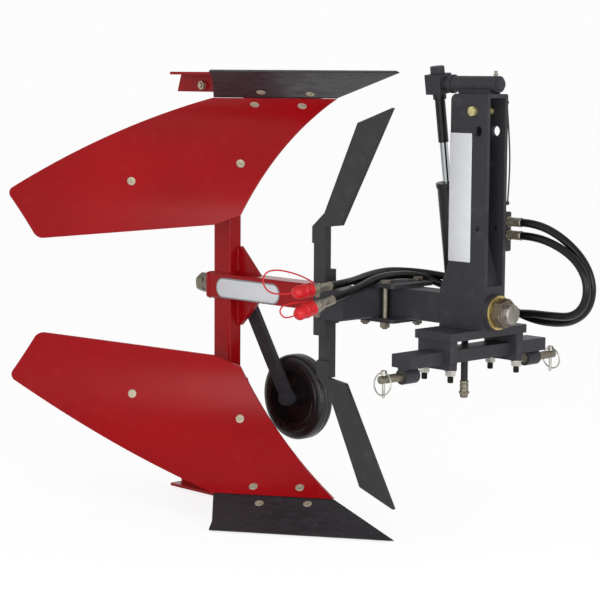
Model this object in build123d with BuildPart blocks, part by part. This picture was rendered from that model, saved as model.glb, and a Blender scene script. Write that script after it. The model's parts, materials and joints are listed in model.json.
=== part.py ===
"""Two-furrow-side reversible plough with a hydraulic turnover headstock, in millimetres.

+X is the direction of travel, +Y the left-hand side and +Z up. The origin lies midway between
the two lower hitch pins. Heights named below are measured from the turnover axis, which lies
AXIS_Z above the hitch pins, because the two plough bodies mirror each other across it.
"""
import os
from math import acos, atan2, cos, degrees, hypot, pi, radians, sin, sqrt, tan

from build123d import *

# Frame and clearances
AXIS_Z = 110.0
RUNNING_FIT = 0.05
SIDE_PLAY = 0.4
BOLT_PLAY = 0.3

# Base plate and its clamps
BASE_X, BASE_Y, BASE_T = 96.0, 220.0, 16.0
BASE_TOP = -33.0
STUD_X, STUD_Y, STUD_D = 33.0, 96.0, 12.0
STUD_DEPTH, STUD_END = 12.0, 13.0
BAR_X, BAR_Z, BAR_HALF = 50.0, 25.0, 196.0
SADDLE_GAP, SADDLE_Y, SADDLE_WALL = 20.0, 20.0, 16.0
STRAP_T = 10.0
NUT_AF, NUT_H = 19.0, 11.0

# Lower hitch pins with their linch pins
PIN_D, PIN_ROOT_D, PIN_END, PIN_SEAT, PIN_TIP_D = 16.0, 18.0, 254.0, 40.0, 15.0
BOSS_D, BOSS_L = 30.0, 37.0
LINCH_Y, LINCH_D, LINCH_LOW = 243.0, 6.0, 27.0
LINCH_HEAD_D, LINCH_HEAD_H = 12.0, 9.0
RING_D, RING_WIRE, RING_TILT, RING_PLAY = 45.0, 3.0, 8.0, 1.2

# Tower
TOWER_REAR, TOWER_FRONT, TOWER_HALF, TOWER_T = -37.5, 56.5, 29.5, 8.0
TOWER_TOP, TOWER_SHOULDER, TOWER_EDGE = 412.0, 12.0, 5.0
SLANT_FOOT, SLANT_TOP, SLANT_REACH, SLANT_T, SLANT_LAP = 34.0, 206.0, 53.0, 6.0, 2.0
FOOT_REAR, FLARE_LOW, FLARE_TOP, WINDOW_LOW = -56.0, 39.0, 87.0, 50.0
TOP_LINK_X, TOP_LINK_Z, TOP_LINK_D = 33.7, 342.0, 19.4
SPARE_X, SPARE_Z, SPARE_D = 36.0, 159.0, 10.0
TOWER_BOLT_X, TOWER_BOLT_Z, TOWER_BOLT_D = 22.0, 379.5, 12.0
CRADLE_H, CRADLE_W = 2.5, 24.0

# Swivel on the tower top
SWIVEL_D, SWIVEL_BORE, SWIVEL_REAR, SWIVEL_FRONT = 31.0, 20.0, -52.0, 60.0
COLLAR_D, COLLAR_T = 36.0, 8.0
BLOCK_SIZE, BLOCK_X = 38.0, -94.0
BLOCK_BOLT_AF, BLOCK_BOLT_H, BLOCK_BOLT_D = 27.0, 15.0, 16.0
NIPPLE_X = 50.0

# Turnover pivot
SHAFT_D, SLEEVE_D, FLANGE_D, FLANGE_T = 40.0, 52.0, 70.0, 9.5
WASHER_D, WASHER_T, PIVOT_NUT_AF, PIVOT_NUT_T, SHAFT_END = 66.0, 4.0, 50.0, 20.0, 105.0

# Turnover cylinder
CRANK_Y, CRANK_PIN_D = 65.0, 16.0
LUG_T, LUG_GAP, LUG_R = 8.0, 18.0, 16.0
BARREL_D, BARREL_BORE, BARREL_FOOT, BARREL_TOP = 40.0, 32.0, 48.0, 232.0
GLAND_D, GLAND_H = 44.0, 10.0
ROD_D, ROD_LOW, ROD_SLEEVE_D, ROD_SLEEVE_LOW = 16.0, 90.0, 20.0, 321.0
ROD_COLLAR_D, ROD_COLLAR_H = 26.0, 11.0

# Main beam, cross arm and corner
BEAM, BEAM_WALL, BEAM_REAR = 60.0, 6.0, -190.0
ARM_FRONT, ARM_END, ARM_INNER = -196.6, -155.0, 34.0
CORNER_FRONT, CORNER_REAR, CORNER_Y, CORNER_T = -152.0, -277.0, 120.0, 8.0
CORNER_BOLT_Y, CORNER_BOLT_INNER, CORNER_BOLT_D = 47.0, 20.0, 12.0

# Knives
KNIFE_W, KNIFE_T, KNIFE_BLADE_T, KNIFE_LAP = 33.0, 15.0, 9.0, 5.0
KNIFE_NEAR, KNIFE_HOLE_Z, KNIFE_BOLT_D = -142.0, 20.0, 12.0
KNIFE_TAIL, KNIFE_BEND = 66.0, 150.0
KNIFE_TIP, KNIFE_CORNER = (-78.0, 385.0), (-168.0, 355.0)
KNIFE_HEEL_FRONT, KNIFE_HEEL_REAR = (-210.0, 156.0), (-256.0, 178.0)
LUG_PLATE_T, LUG_PLATE_Z = 8.0, 84.0

# Carrier tube, post and gussets
CARRIER, CARRIER_WALL, CARRIER_Y, CARRIER_REAR = 53.0, 5.0, -69.5, -657.0
CAP_T = 6.0
STUD_ROD_D, STUD_NUT_AF, STUD_NUT_H, STUD_TAIL, LOCK_TURN = 22.0, 38.0, 22.0, 10.0, 20.0
POST_X, POST_Y, POST_WALL, POST_MID, POST_TOP = 52.0, 34.0, 5.0, -626.0, 335.0
GUSSET_T, GUSSET_FOOT, GUSSET_TOP = 10.0, -536.0, 84.0

# Plough bodies, drawn for the upper one
EDGE_ANGLE = 33.7
ROLL_R, ROLL_Z, BOARD_T = 283.0, 163.8, 5.0
SEAM_D, SEAM_Z = -58.6, 399.0
BOARD_SHIN, BOARD_SHIN_LOW = (404.0, 300.0), (504.0, 158.0)
BOARD_KNEE, BOARD_TAIL_LOW, BOARD_TAIL_HIGH = (561.0, 136.0), (945.0, 99.0), (1014.0, 198.0)
BOARD_TREAD, BOARD_LEAD, BOARD_RUN = (742.0, 331.0), 20.0, 780.0
SHARE_EDGE_D, SHARE_EDGE_Z, SHARE_PITCH, SHARE_T = 46.0, 450.0, 25.3, 8.0
SHARE_TIP, SHARE_WING, SHARE_FRONT, SHARE_REAR, SHARE_DEPTH = 138.0, 510.0, 279.0, 529.0, 118.0
BOARD_BOLTS = ((737.0, 223.6), (500.0, 264.4), (449.0, 386.0), (353.0, 384.0))
SHARE_BOLTS = ((427.0, 92.0), (329.0, 98.0))
BOLT_HEAD_D, BOLT_SUNK, BOLT_SHANK_D, BOLT_NUT_AF, BOLT_NUT_H, BOLT_TAIL = 18.0, 3.0, 10.0, 17.0, 9.0, 4.0
WEB_Y, WEB_T, WEB_LOW, WEB_HIGH, WEB_BACK = -87.0, 12.0, 170.0, 440.0, 520.0
WEB_EDGE = ((548.0, 190.0), (520.0, 262.0), (440.0, 330.0), (365.0, 386.0), (338.0, 404.0))
SEAT_T, SEAT_FRONT, SEAT_REAR, SEAT_LOW, SEAT_HIGH, STAY_D = 8.0, 316.0, 470.0, 80.0, 172.0, 16.0
STAY_FEET = (575.0, 545.0)
LANDSIDE_T, LANDSIDE_LOW, LANDSIDE_HIGH = 6.0, 408.0, 450.0
LANDSIDE_FRONT, LANDSIDE_REAR, LANDSIDE_HEEL, LANDSIDE_SOLE = -300.0, -776.0, 14.0, 34.0
LANDSIDE_BOLTS_X, LANDSIDE_BOLTS_Z = (-380.0, -500.0, -690.0), 422.0

# Depth wheel
WHEEL_D, WHEEL_W, RIM_D, AXLE_D = 182.0, 38.0, 120.0, 20.0
WHEEL_X, WHEEL_Z, WHEEL_Y = -498.0, -234.0, 17.0
PIVOT_SETBACK, PIVOT_D, PIVOT_BOSS_D = 12.0, 20.0, 34.0
ARM_W, ARM_T, PEG_D, PEG_OUT = 32.0, 12.0, 12.0, 14.0

# Hydraulics
HOSE_D, FERRULE_D, FERRULE_L, UNION_AF, UNION_L = 15.5, 18.0, 30.0, 19.0, 10.0
VALVE = (40.0, 31.0, 76.0)
VALVE_X, VALVE_Z = 24.0, 150.0
HOSE_START_Y = 45.0
HOSE_A_Z, HOSE_B_Z = 170.0, 145.0
HOSE_CUT = -120.0
COUPLER_FERRULE, COUPLER_BODY, COUPLER_D, COUPLER_L = 34.0, 22.0, 24.0, 22.0
DUST_CAP_D, DUST_CAP_L = 28.0, 48.0
DRAIN_X, DRAIN_Y, DRAIN_D, DRAIN_L = -38.0, 25.0, 14.0, 95.0

BAR_TOP = BASE_TOP - BASE_T - SADDLE_GAP
BAR_LOW = BAR_TOP - BAR_Z
STRAP_LOW = BAR_LOW - STRAP_T
SWIVEL_Z = TOWER_TOP + CRADLE_H + SWIVEL_D / 2
SLEEVE_FRONT = TOWER_FRONT + FLANGE_T
WASHER_X = SLEEVE_FRONT + SIDE_PLAY
PIVOT_NUT_X = WASHER_X + WASHER_T
BEAM_FRONT = FOOT_REAR - SIDE_PLAY
ARM_REAR = ARM_FRONT - BEAM
ARM_MID = ARM_FRONT - BEAM / 2
KNIFE_MID = ARM_REAR - KNIFE_W / 2
CARRIER_CAP = CARRIER_REAR - CAP_T
PIVOT_X = CARRIER_REAR + PIVOT_SETBACK
ROLL_D = SEAM_D + sqrt(ROLL_R**2 - (SEAM_Z - ROLL_Z) ** 2)
CYLINDER_LEAN = degrees(atan2(CRANK_Y, SWIVEL_Z))
CYLINDER_LENGTH = hypot(CRANK_Y, SWIVEL_Z)
WHEEL_ARM_Y = WHEEL_Y - WHEEL_W / 2 - 5 - ARM_T
HALF_ANGLE = radians(EDGE_ANGLE)
ALONG = Vector(-cos(HALF_ANGLE), -sin(HALF_ANGLE), 0)
FACING = Vector(sin(HALF_ANGLE), -cos(HALF_ANGLE), 0)
UP = Vector(0, 0, 1)
AXIS_LEVEL = Plane.XY.offset(AXIS_Z)
SIDE = Plane((0, 0, AXIS_Z), x_dir=(1, 0, 0), z_dir=(0, -1, 0))


def side_at(y):
    """Plane facing -Y at a given y, whose own axes are x and the height above the turnover axis."""
    return Plane((0, y, AXIS_Z), x_dir=(1, 0, 0), z_dir=(0, -1, 0))


def along_x(x, y=0.0, z=0.0):
    """Plane facing +X at a point given from the turnover axis."""
    return Plane((x, y, AXIS_Z + z), x_dir=(0, 1, 0), z_dir=(1, 0, 0))


def along_y(x, y, z, way=1):
    """Plane facing +Y or -Y at a point given from the turnover axis."""
    return Plane((x, y, AXIS_Z + z), x_dir=(1, 0, 0), z_dir=(0, way, 0))


def along_z(x, y, z, way=1):
    """Plane facing up or down at a point given from the turnover axis."""
    return Plane((x, y, AXIS_Z + z), x_dir=(1, 0, 0), z_dir=(0, 0, way))


def save(builder, name):
    """Label a finished sub-part and write it under its node name."""
    builder.part.label = name
    export_step(builder.part, f"parts/{name}.step")


def stepped(plane, steps):
    """A turned piece: cylinders of (length, diameter) stacked along the plane's normal."""
    with BuildPart() as turned:
        level = 0.0
        for length, diameter in steps:
            with BuildSketch(plane.offset(level)):
                Circle(diameter / 2)
            extrude(amount=length)
            level += length
    return turned.part


def hex_bolt(plane, flats, height, shank, length):
    """A hexagon head on the plane with its shank running back from it."""
    with BuildPart() as bolt:
        with BuildSketch(plane):
            RegularPolygon(flats / 2, 6, major_radius=False)
        extrude(amount=height)
        with BuildSketch(plane):
            Circle(shank / 2)
        extrude(amount=-length)
    return bolt.part


def hex_nut(plane, flats, height, bore):
    """A hexagon nut that stands on the plane."""
    with BuildPart() as nut:
        with BuildSketch(plane):
            RegularPolygon(flats / 2, 6, major_radius=False)
            Circle(bore / 2, mode=Mode.SUBTRACT)
        extrude(amount=height)
    return nut.part


def hose(points, diameter, name):
    """A tube along points given from the turnover axis, rounded at every corner."""
    route = [Vector(x, y, AXIS_Z + z) for x, y, z in points]
    runs = [after - before for before, after in zip(route, route[1:])]
    radii = []
    for before, after in zip(runs, runs[1:]):
        half_turn = radians(before.get_angle(after)) / 2
        radii.append(0.45 * min(before.length, after.length) / tan(half_turn))
    with BuildPart() as tube:
        with BuildLine() as path:
            FilletPolyline(*route, radius=radii)
        with BuildSketch(Plane(route[0], z_dir=runs[0])):
            Circle(diameter / 2)
        sweep()
    straight = pi / 4 * diameter**2 * path.wires()[0].length
    print(f"{name}: least radius {min(radii):.0f}, volume ratio {tube.part.volume / straight:.4f}")
    return tube


os.makedirs("parts", exist_ok=True)

# Base plate with blind holes for the clamp studs
stud_places = [(x, y) for x in (-STUD_X, STUD_X) for y in (-STUD_Y, STUD_Y)]
with BuildPart() as base_plate:
    with BuildSketch(along_z(0, 0, BASE_TOP)):
        RectangleRounded(BASE_X, BASE_Y, 4)
    extrude(amount=-BASE_T)
    with BuildSketch(along_z(0, 0, BASE_TOP - BASE_T)):
        with Locations(*stud_places):
            Circle(STUD_D / 2)
    extrude(amount=STUD_DEPTH, mode=Mode.SUBTRACT)
save(base_plate, "base_plate")

# Saddles that straddle the crossbar under the base plate
with BuildPart() as clamp_saddles:
    with BuildSketch(along_z(0, 0, BASE_TOP - BASE_T)):
        with Locations((0, -STUD_Y), (0, STUD_Y)):
            Rectangle(BAR_X + 2 * SADDLE_WALL, SADDLE_Y)
    extrude(amount=-(SADDLE_GAP + BAR_Z))
    with BuildSketch(along_z(0, 0, BAR_TOP)):
        Rectangle(BAR_X, BASE_Y)
    extrude(amount=-BAR_Z, mode=Mode.SUBTRACT)
    with BuildSketch(along_z(0, 0, BAR_LOW)):
        with Locations(*stud_places):
            Circle(STUD_D / 2 + BOLT_PLAY)
    extrude(amount=SADDLE_GAP + BAR_Z, mode=Mode.SUBTRACT)
save(clamp_saddles, "clamp_saddles")

with BuildPart() as clamp_straps:
    with BuildSketch(along_z(0, 0, BAR_LOW)):
        with Locations((0, -STUD_Y), (0, STUD_Y)):
            RectangleRounded(BAR_X + 2 * SADDLE_WALL + 2, SADDLE_Y, 3)
        with Locations(*stud_places):
            Circle(STUD_D / 2 + BOLT_PLAY, mode=Mode.SUBTRACT)
    extrude(amount=-STRAP_T)
save(clamp_straps, "clamp_straps")

stud_length = STUD_DEPTH + SADDLE_GAP + BAR_Z + STRAP_T + NUT_H + STUD_END
with BuildPart() as clamp_studs:
    for x, y in stud_places:
        stud_top = BASE_TOP - BASE_T + STUD_DEPTH
        add(stepped(along_z(x, y, stud_top, -1), [(stud_length, STUD_D)]))
        add(hex_nut(along_z(x, y, STRAP_LOW, -1), NUT_AF, NUT_H, STUD_D + 0.2))
save(clamp_studs, "clamp_studs")

# Crossbar with a welded boss under each end
with BuildPart() as crossbar:
    with BuildSketch(along_y(0, -BAR_HALF, BAR_LOW + BAR_Z / 2)):
        Rectangle(BAR_X, BAR_Z)
    extrude(amount=2 * BAR_HALF)
    for end in (-1, 1):
        with BuildSketch(along_y(0, end * BAR_HALF, -AXIS_Z, -end)):
            Circle(BOSS_D / 2)
        extrude(amount=BOSS_L)
        with BuildSketch(along_z(0, end * (BAR_HALF - BOSS_L / 2), BAR_LOW)):
            Rectangle(BOSS_D * 0.6, BOSS_L)
        extrude(amount=-(AXIS_Z + BAR_LOW))
        with BuildSketch(along_y(0, end * BAR_HALF, -AXIS_Z, -end)):
            Circle(PIN_ROOT_D / 2)
        extrude(amount=BOSS_L, mode=Mode.SUBTRACT)
save(crossbar, "crossbar")

with BuildPart() as hitch_pins:
    for end in (-1, 1):
        add(stepped(along_y(0, end * (BAR_HALF - BOSS_L), -AXIS_Z, end),
                    [(BOSS_L, PIN_ROOT_D), (PIN_SEAT, PIN_D), (PIN_END - BAR_HALF - PIN_SEAT, PIN_TIP_D)]))
    chamfer(hitch_pins.edges().filter_by(GeomType.CIRCLE).group_by(Axis.Y)[0], 2)
    chamfer(hitch_pins.edges().filter_by(GeomType.CIRCLE).group_by(Axis.Y)[-1], 2)
    with BuildSketch(along_z(0, 0, -AXIS_Z - PIN_D)):
        with Locations((0, -LINCH_Y), (0, LINCH_Y)):
            Circle(LINCH_D / 2 + BOLT_PLAY)
    extrude(amount=2 * PIN_D, mode=Mode.SUBTRACT)
save(hitch_pins, "hitch_pins")

# Linch pins, each with a spring ring through its head
ring_z = -AXIS_Z + PIN_D / 2 + LINCH_HEAD_H / 2 + SIDE_PLAY
for side, name in ((-1, "near"), (1, "far")):
    with BuildPart() as linch_pin:
        top = -AXIS_Z + PIN_D / 2 + LINCH_HEAD_H + SIDE_PLAY
        add(stepped(along_z(0, side * LINCH_Y, top, -1),
                    [(LINCH_HEAD_H, LINCH_HEAD_D), (PIN_D + LINCH_LOW, LINCH_D)]))
        fillet(linch_pin.edges().filter_by(GeomType.CIRCLE).group_by(Axis.Z)[-1], 3)
        chamfer(linch_pin.edges().filter_by(GeomType.CIRCLE).group_by(Axis.Z)[0], 1.5)
        with BuildSketch(along_x(-LINCH_HEAD_D, side * LINCH_Y, ring_z)):
            Circle(RING_WIRE / 2 + RING_PLAY)
        extrude(amount=2 * LINCH_HEAD_D, mode=Mode.SUBTRACT)
    save(linch_pin, f"linch_pin_{name}")
    tilt = radians(RING_TILT)
    down = Vector(0, side * sin(tilt), -cos(tilt))
    mid = Vector(0, side * LINCH_Y, AXIS_Z + ring_z) + down * ((RING_D - RING_WIRE) / 2)
    with BuildPart() as linch_ring:
        with BuildSketch(Plane(mid, x_dir=(1, 0, 0), z_dir=down)):
            with Locations(((RING_D - RING_WIRE) / 2, 0)):
                Circle(RING_WIRE / 2)
        revolve(axis=Axis(mid, Vector(1, 0, 0).cross(down)))
    save(linch_ring, f"linch_ring_{name}")

# Tower: a bent channel open to the front, with a closed box foot and a cradle on top
with BuildPart() as tower:
    with BuildSketch(SIDE):
        with BuildLine():
            Polyline(
                (TOWER_FRONT, BASE_TOP), (TOWER_FRONT, TOWER_TOP), (TOWER_REAR, TOWER_TOP),
                (TOWER_REAR, FLARE_TOP), (FOOT_REAR, FLARE_LOW), (FOOT_REAR, BASE_TOP), close=True,
            )
        make_face()
        fillet(vertices().group_by(Axis.Y)[-1].sort_by(Axis.X)[0], TOWER_SHOULDER)
    extrude(amount=TOWER_HALF, both=True)
    fillet(tower.edges().filter_by(Axis.X).group_by(Axis.Z)[-1], TOWER_EDGE)
    with BuildSketch(SIDE):
        with BuildLine():
            Polyline(
                (TOWER_FRONT, WINDOW_LOW), (TOWER_FRONT, TOWER_TOP - TOWER_T),
                (TOWER_REAR + TOWER_T, TOWER_TOP - TOWER_T), (TOWER_REAR + TOWER_T, FLARE_TOP),
                (FOOT_REAR + TOWER_T, FLARE_LOW), (FOOT_REAR + TOWER_T, BASE_TOP),
                (TOWER_FRONT - TOWER_T, BASE_TOP), (TOWER_FRONT - TOWER_T, WINDOW_LOW), close=True,
            )
        make_face()
    extrude(amount=TOWER_HALF - TOWER_T, both=True, mode=Mode.SUBTRACT)
    with BuildSketch(SIDE):
        with BuildLine():
            slant_x = TOWER_FRONT - TOWER_T + SLANT_LAP
            Polyline(
                (slant_x, SLANT_FOOT), (slant_x - SLANT_REACH, SLANT_TOP),
                (slant_x - SLANT_REACH - SLANT_T, SLANT_TOP), (slant_x - SLANT_T, SLANT_FOOT), close=True,
            )
        make_face()
    extrude(amount=TOWER_HALF - TOWER_T, both=True)
    with BuildSketch(along_z((TOWER_REAR + TOWER_FRONT) / 2, 0, TOWER_TOP)):
        Rectangle(TOWER_FRONT - TOWER_REAR - 2 * TOWER_SHOULDER, CRADLE_W)
    extrude(amount=CRADLE_H + SWIVEL_D / 4)
    with BuildSketch(along_x(SWIVEL_REAR, 0, SWIVEL_Z)):
        Circle(SWIVEL_D / 2)
    extrude(amount=SWIVEL_FRONT - SWIVEL_REAR, mode=Mode.SUBTRACT)
    with BuildSketch(along_x(FOOT_REAR)):
        Circle(SLEEVE_D / 2)
    extrude(amount=TOWER_FRONT - FOOT_REAR, mode=Mode.SUBTRACT)
    with BuildSketch(SIDE):
        with Locations((TOP_LINK_X, TOP_LINK_Z)):
            Circle(TOP_LINK_D / 2)
        with Locations((SPARE_X, SPARE_Z)):
            Circle(SPARE_D / 2)
        with Locations((TOWER_BOLT_X, TOWER_BOLT_Z)):
            Circle(TOWER_BOLT_D / 2 + BOLT_PLAY)
    extrude(amount=TOWER_HALF, both=True, mode=Mode.SUBTRACT)
save(tower, "tower")

with BuildPart() as tower_bolt:
    head = along_y(TOWER_BOLT_X, -TOWER_HALF, TOWER_BOLT_Z, -1)
    add(hex_bolt(head, NUT_AF, 8, TOWER_BOLT_D, 2 * TOWER_HALF + NUT_H + 2))
    add(hex_nut(along_y(TOWER_BOLT_X, TOWER_HALF, TOWER_BOLT_Z), NUT_AF, NUT_H, TOWER_BOLT_D + 0.2))
save(tower_bolt, "tower_bolt")

# Swivel tube on the tower, its shaft and the grease nipple
with BuildPart() as swivel_tube:
    with BuildSketch(along_x(SWIVEL_REAR, 0, SWIVEL_Z)):
        Circle(SWIVEL_D / 2)
        Circle(SWIVEL_BORE / 2 + RUNNING_FIT, mode=Mode.SUBTRACT)
    extrude(amount=SWIVEL_FRONT - SWIVEL_REAR)
    with BuildSketch(along_z(NIPPLE_X, 0, SWIVEL_Z)):
        Circle(3)
    extrude(amount=SWIVEL_D, mode=Mode.SUBTRACT)
save(swivel_tube, "swivel_tube")

block_front = BLOCK_X + BLOCK_SIZE / 2
with BuildPart() as swivel_shaft:
    neck = SWIVEL_REAR - COLLAR_T - block_front - SIDE_PLAY
    add(stepped(along_x(block_front + SIDE_PLAY, 0, SWIVEL_Z),
                [(neck, SWIVEL_BORE + 4), (COLLAR_T, COLLAR_D), (SWIVEL_FRONT - SWIVEL_REAR, SWIVEL_BORE),
                 (3, SWIVEL_D - 6), (3, SWIVEL_BORE)]))
save(swivel_shaft, "swivel_shaft")

with BuildPart() as grease_nipple:
    add(stepped(along_z(NIPPLE_X, 0, SWIVEL_Z + SWIVEL_D / 2 - 3), [(4, 6), (3, 9), (2.5, 5), (3, 6.5)]))
save(grease_nipple, "grease_nipple")

# Bearing sleeve of the turnover pivot, with its front flange
with BuildPart() as pivot_sleeve:
    with BuildSketch(along_x(FOOT_REAR)):
        Circle(SLEEVE_D / 2)
    extrude(amount=TOWER_FRONT - FOOT_REAR)
    with BuildSketch(along_x(TOWER_FRONT)):
        Circle(FLANGE_D / 2)
    extrude(amount=FLANGE_T)
    with BuildSketch(along_x(FOOT_REAR)):
        Circle(SHAFT_D / 2 + RUNNING_FIT)
    extrude(amount=SLEEVE_FRONT - FOOT_REAR, mode=Mode.SUBTRACT)
    with BuildSketch(along_z(0, 0, BASE_TOP)):
        Rectangle(2 * SHAFT_END, BASE_Y)
    extrude(amount=-BASE_T, mode=Mode.SUBTRACT)
save(pivot_sleeve, "pivot_sleeve")

# Turning shaft with its thrust washer and nut
with BuildPart() as pivot_shaft:
    add(stepped(along_x(BEAM_FRONT - BEAM_WALL * 2),
                [(PIVOT_NUT_X + PIVOT_NUT_T - BEAM_FRONT + BEAM_WALL * 2, SHAFT_D),
                 (SHAFT_END - PIVOT_NUT_X - PIVOT_NUT_T, SHAFT_D - 2)]))
    chamfer(pivot_shaft.edges().filter_by(GeomType.CIRCLE).group_by(Axis.X)[-1], 2.5)
save(pivot_shaft, "pivot_shaft")

with BuildPart() as thrust_washer:
    with BuildSketch(along_x(WASHER_X)):
        Circle(WASHER_D / 2)
        Circle(SHAFT_D / 2 + 0.2, mode=Mode.SUBTRACT)
    extrude(amount=WASHER_T)
    with BuildSketch(along_z(0, 0, BASE_TOP + SIDE_PLAY)):
        Rectangle(2 * SHAFT_END, BASE_Y)
    extrude(amount=-BASE_T, mode=Mode.SUBTRACT)
save(thrust_washer, "thrust_washer")

with BuildPart() as pivot_nut:
    add(hex_nut(along_x(PIVOT_NUT_X), PIVOT_NUT_AF, PIVOT_NUT_T, SHAFT_D + 0.2))
save(pivot_nut, "pivot_nut")

# Main beam: a square tube with a front plate for the shaft and two crank lugs on its left side
lug_places = (BLOCK_X - LUG_GAP / 2 - LUG_T, BLOCK_X + LUG_GAP / 2)
with BuildPart() as main_beam:
    with BuildSketch(along_x(BEAM_REAR)):
        RectangleRounded(BEAM, BEAM, BEAM_WALL)
    extrude(amount=BEAM_FRONT - BEAM_REAR)
    with BuildSketch(along_x(BEAM_REAR)):
        Rectangle(BEAM - 2 * BEAM_WALL, BEAM - 2 * BEAM_WALL)
    extrude(amount=BEAM_FRONT - BEAM_REAR - 2 * BEAM_WALL, mode=Mode.SUBTRACT)
    with BuildSketch(along_x(BEAM_FRONT - 2 * BEAM_WALL)):
        Circle(SHAFT_D / 2)
    extrude(amount=2 * BEAM_WALL, mode=Mode.SUBTRACT)
    for x in lug_places:
        with BuildSketch(along_x(x)):
            with BuildLine():
                Polyline((BEAM / 2 - 1, -BEAM / 2 + BEAM_WALL), (CRANK_Y, -LUG_R), (CRANK_Y, LUG_R),
                         (BEAM / 2 - 1, BEAM / 2 - BEAM_WALL), close=True)
            make_face()
            with Locations((CRANK_Y, 0)):
                Circle(LUG_R)
                Circle(CRANK_PIN_D / 2, mode=Mode.SUBTRACT)
        extrude(amount=LUG_T)
save(main_beam, "main_beam")

with BuildPart() as crank_pin:
    add(stepped(along_x(lug_places[0] - 5, CRANK_Y),
                [(5, CRANK_PIN_D + 8), (LUG_GAP + 2 * LUG_T, CRANK_PIN_D), (4, CRANK_PIN_D + 6)]))
save(crank_pin, "crank_pin")

# Corner: the beam's end plates clamp the cross arm between them
corner_mid = (CORNER_FRONT + CORNER_REAR) / 2
front_bolt_x, rear_bolt_x = ARM_FRONT + CORNER_BOLT_D, ARM_REAR - CORNER_BOLT_D / 2 - 2
corner_bolts_at = [(front_bolt_x, -CORNER_BOLT_Y), (front_bolt_x, CORNER_BOLT_Y),
                   (rear_bolt_x, -CORNER_BOLT_INNER), (rear_bolt_x, CORNER_BOLT_Y)]
with BuildPart() as corner_plates:
    for way in (-1, 1):
        with BuildSketch(along_z(corner_mid, 0, way * BEAM / 2, way)):
            RectangleRounded(CORNER_FRONT - CORNER_REAR, CORNER_Y, 8)
        extrude(amount=CORNER_T)
    with BuildSketch(along_z(0, 0, 0)):
        with Locations(*corner_bolts_at):
            Circle(CORNER_BOLT_D / 2 + BOLT_PLAY)
    extrude(amount=BEAM, both=True, mode=Mode.SUBTRACT)
save(corner_plates, "corner_plates")

corner_top = BEAM / 2 + CORNER_T
with BuildPart() as corner_bolts:
    for x, y in corner_bolts_at:
        add(hex_bolt(along_z(x, y, corner_top), NUT_AF, 7, CORNER_BOLT_D, 2 * corner_top + NUT_H + 3))
        add(hex_nut(along_z(x, y, -corner_top, -1), NUT_AF, NUT_H, CORNER_BOLT_D + 0.2))
save(corner_bolts, "corner_bolts")

# Cross arm: a square tube with a welded end plate and a lug plate for the knives
lug_plate_y = KNIFE_NEAR + 2 * KNIFE_T
with BuildPart() as cross_arm:
    with BuildSketch(along_y(ARM_MID, ARM_END, 0)):
        RectangleRounded(BEAM, BEAM, BEAM_WALL)
    extrude(amount=ARM_INNER - ARM_END)
    with BuildSketch(along_y(ARM_MID, ARM_END + BEAM_WALL, 0)):
        Rectangle(BEAM - 2 * BEAM_WALL, BEAM - 2 * BEAM_WALL)
    extrude(amount=ARM_INNER - ARM_END - BEAM_WALL, mode=Mode.SUBTRACT)
    with BuildSketch(along_y(ARM_REAR - KNIFE_W / 2 + 0.5, lug_plate_y, 0)):
        Rectangle(KNIFE_W + 1, LUG_PLATE_Z)
        with Locations((-0.5, KNIFE_HOLE_Z), (-0.5, -KNIFE_HOLE_Z)):
            Circle(KNIFE_BOLT_D / 2 + BOLT_PLAY, mode=Mode.SUBTRACT)
    extrude(amount=LUG_PLATE_T)
    with BuildSketch(along_x(ARM_REAR, CARRIER_Y)):
        Circle(STUD_ROD_D / 2)
    extrude(amount=BEAM_WALL, mode=Mode.SUBTRACT)
save(cross_arm, "cross_arm")

# Knives: a shank bolted to the lug plate, cranked forward into a sharpened blade
for name, way, near in (("upper_knife", 1, KNIFE_NEAR), ("lower_knife", -1, KNIFE_NEAR + KNIFE_T)):
    rear, front = KNIFE_MID - KNIFE_W / 2, KNIFE_MID + KNIFE_W / 2
    with BuildPart() as knife:
        with BuildSketch(side_at(near + KNIFE_T)):
            with BuildLine():
                Polyline((rear, -way * KNIFE_TAIL), (front, -way * KNIFE_TAIL), (front, way * KNIFE_BEND),
                         (rear, way * KNIFE_BEND), close=True)
            make_face()
            with Locations((KNIFE_MID, KNIFE_HOLE_Z), (KNIFE_MID, -KNIFE_HOLE_Z)):
                Circle(KNIFE_BOLT_D / 2 + BOLT_PLAY, mode=Mode.SUBTRACT)
        extrude(amount=KNIFE_T)
        with BuildSketch(side_at(near + KNIFE_BLADE_T - KNIFE_LAP)):
            with BuildLine():
                Polyline((front, way * KNIFE_BEND), (KNIFE_HEEL_FRONT[0], way * KNIFE_HEEL_FRONT[1]),
                         (KNIFE_TIP[0], way * KNIFE_TIP[1]), (KNIFE_CORNER[0], way * KNIFE_CORNER[1]),
                         (KNIFE_HEEL_REAR[0], way * KNIFE_HEEL_REAR[1]), (rear, way * KNIFE_BEND),
                         (rear, way * (KNIFE_BEND - KNIFE_W)), (front, way * (KNIFE_BEND - KNIFE_W)),
                         close=True)
            make_face()
        extrude(amount=KNIFE_BLADE_T)
    save(knife, name)

with BuildPart() as knife_bolts:
    grip = 2 * KNIFE_T + LUG_PLATE_T
    for z in (-KNIFE_HOLE_Z, KNIFE_HOLE_Z):
        add(hex_bolt(along_y(KNIFE_MID, KNIFE_NEAR, z, -1), NUT_AF, 7, KNIFE_BOLT_D, grip + 8))
        add(hex_nut(along_y(KNIFE_MID, KNIFE_NEAR + grip, z), NUT_AF, 6, KNIFE_BOLT_D + 0.2))
save(knife_bolts, "knife_bolts")

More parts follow.
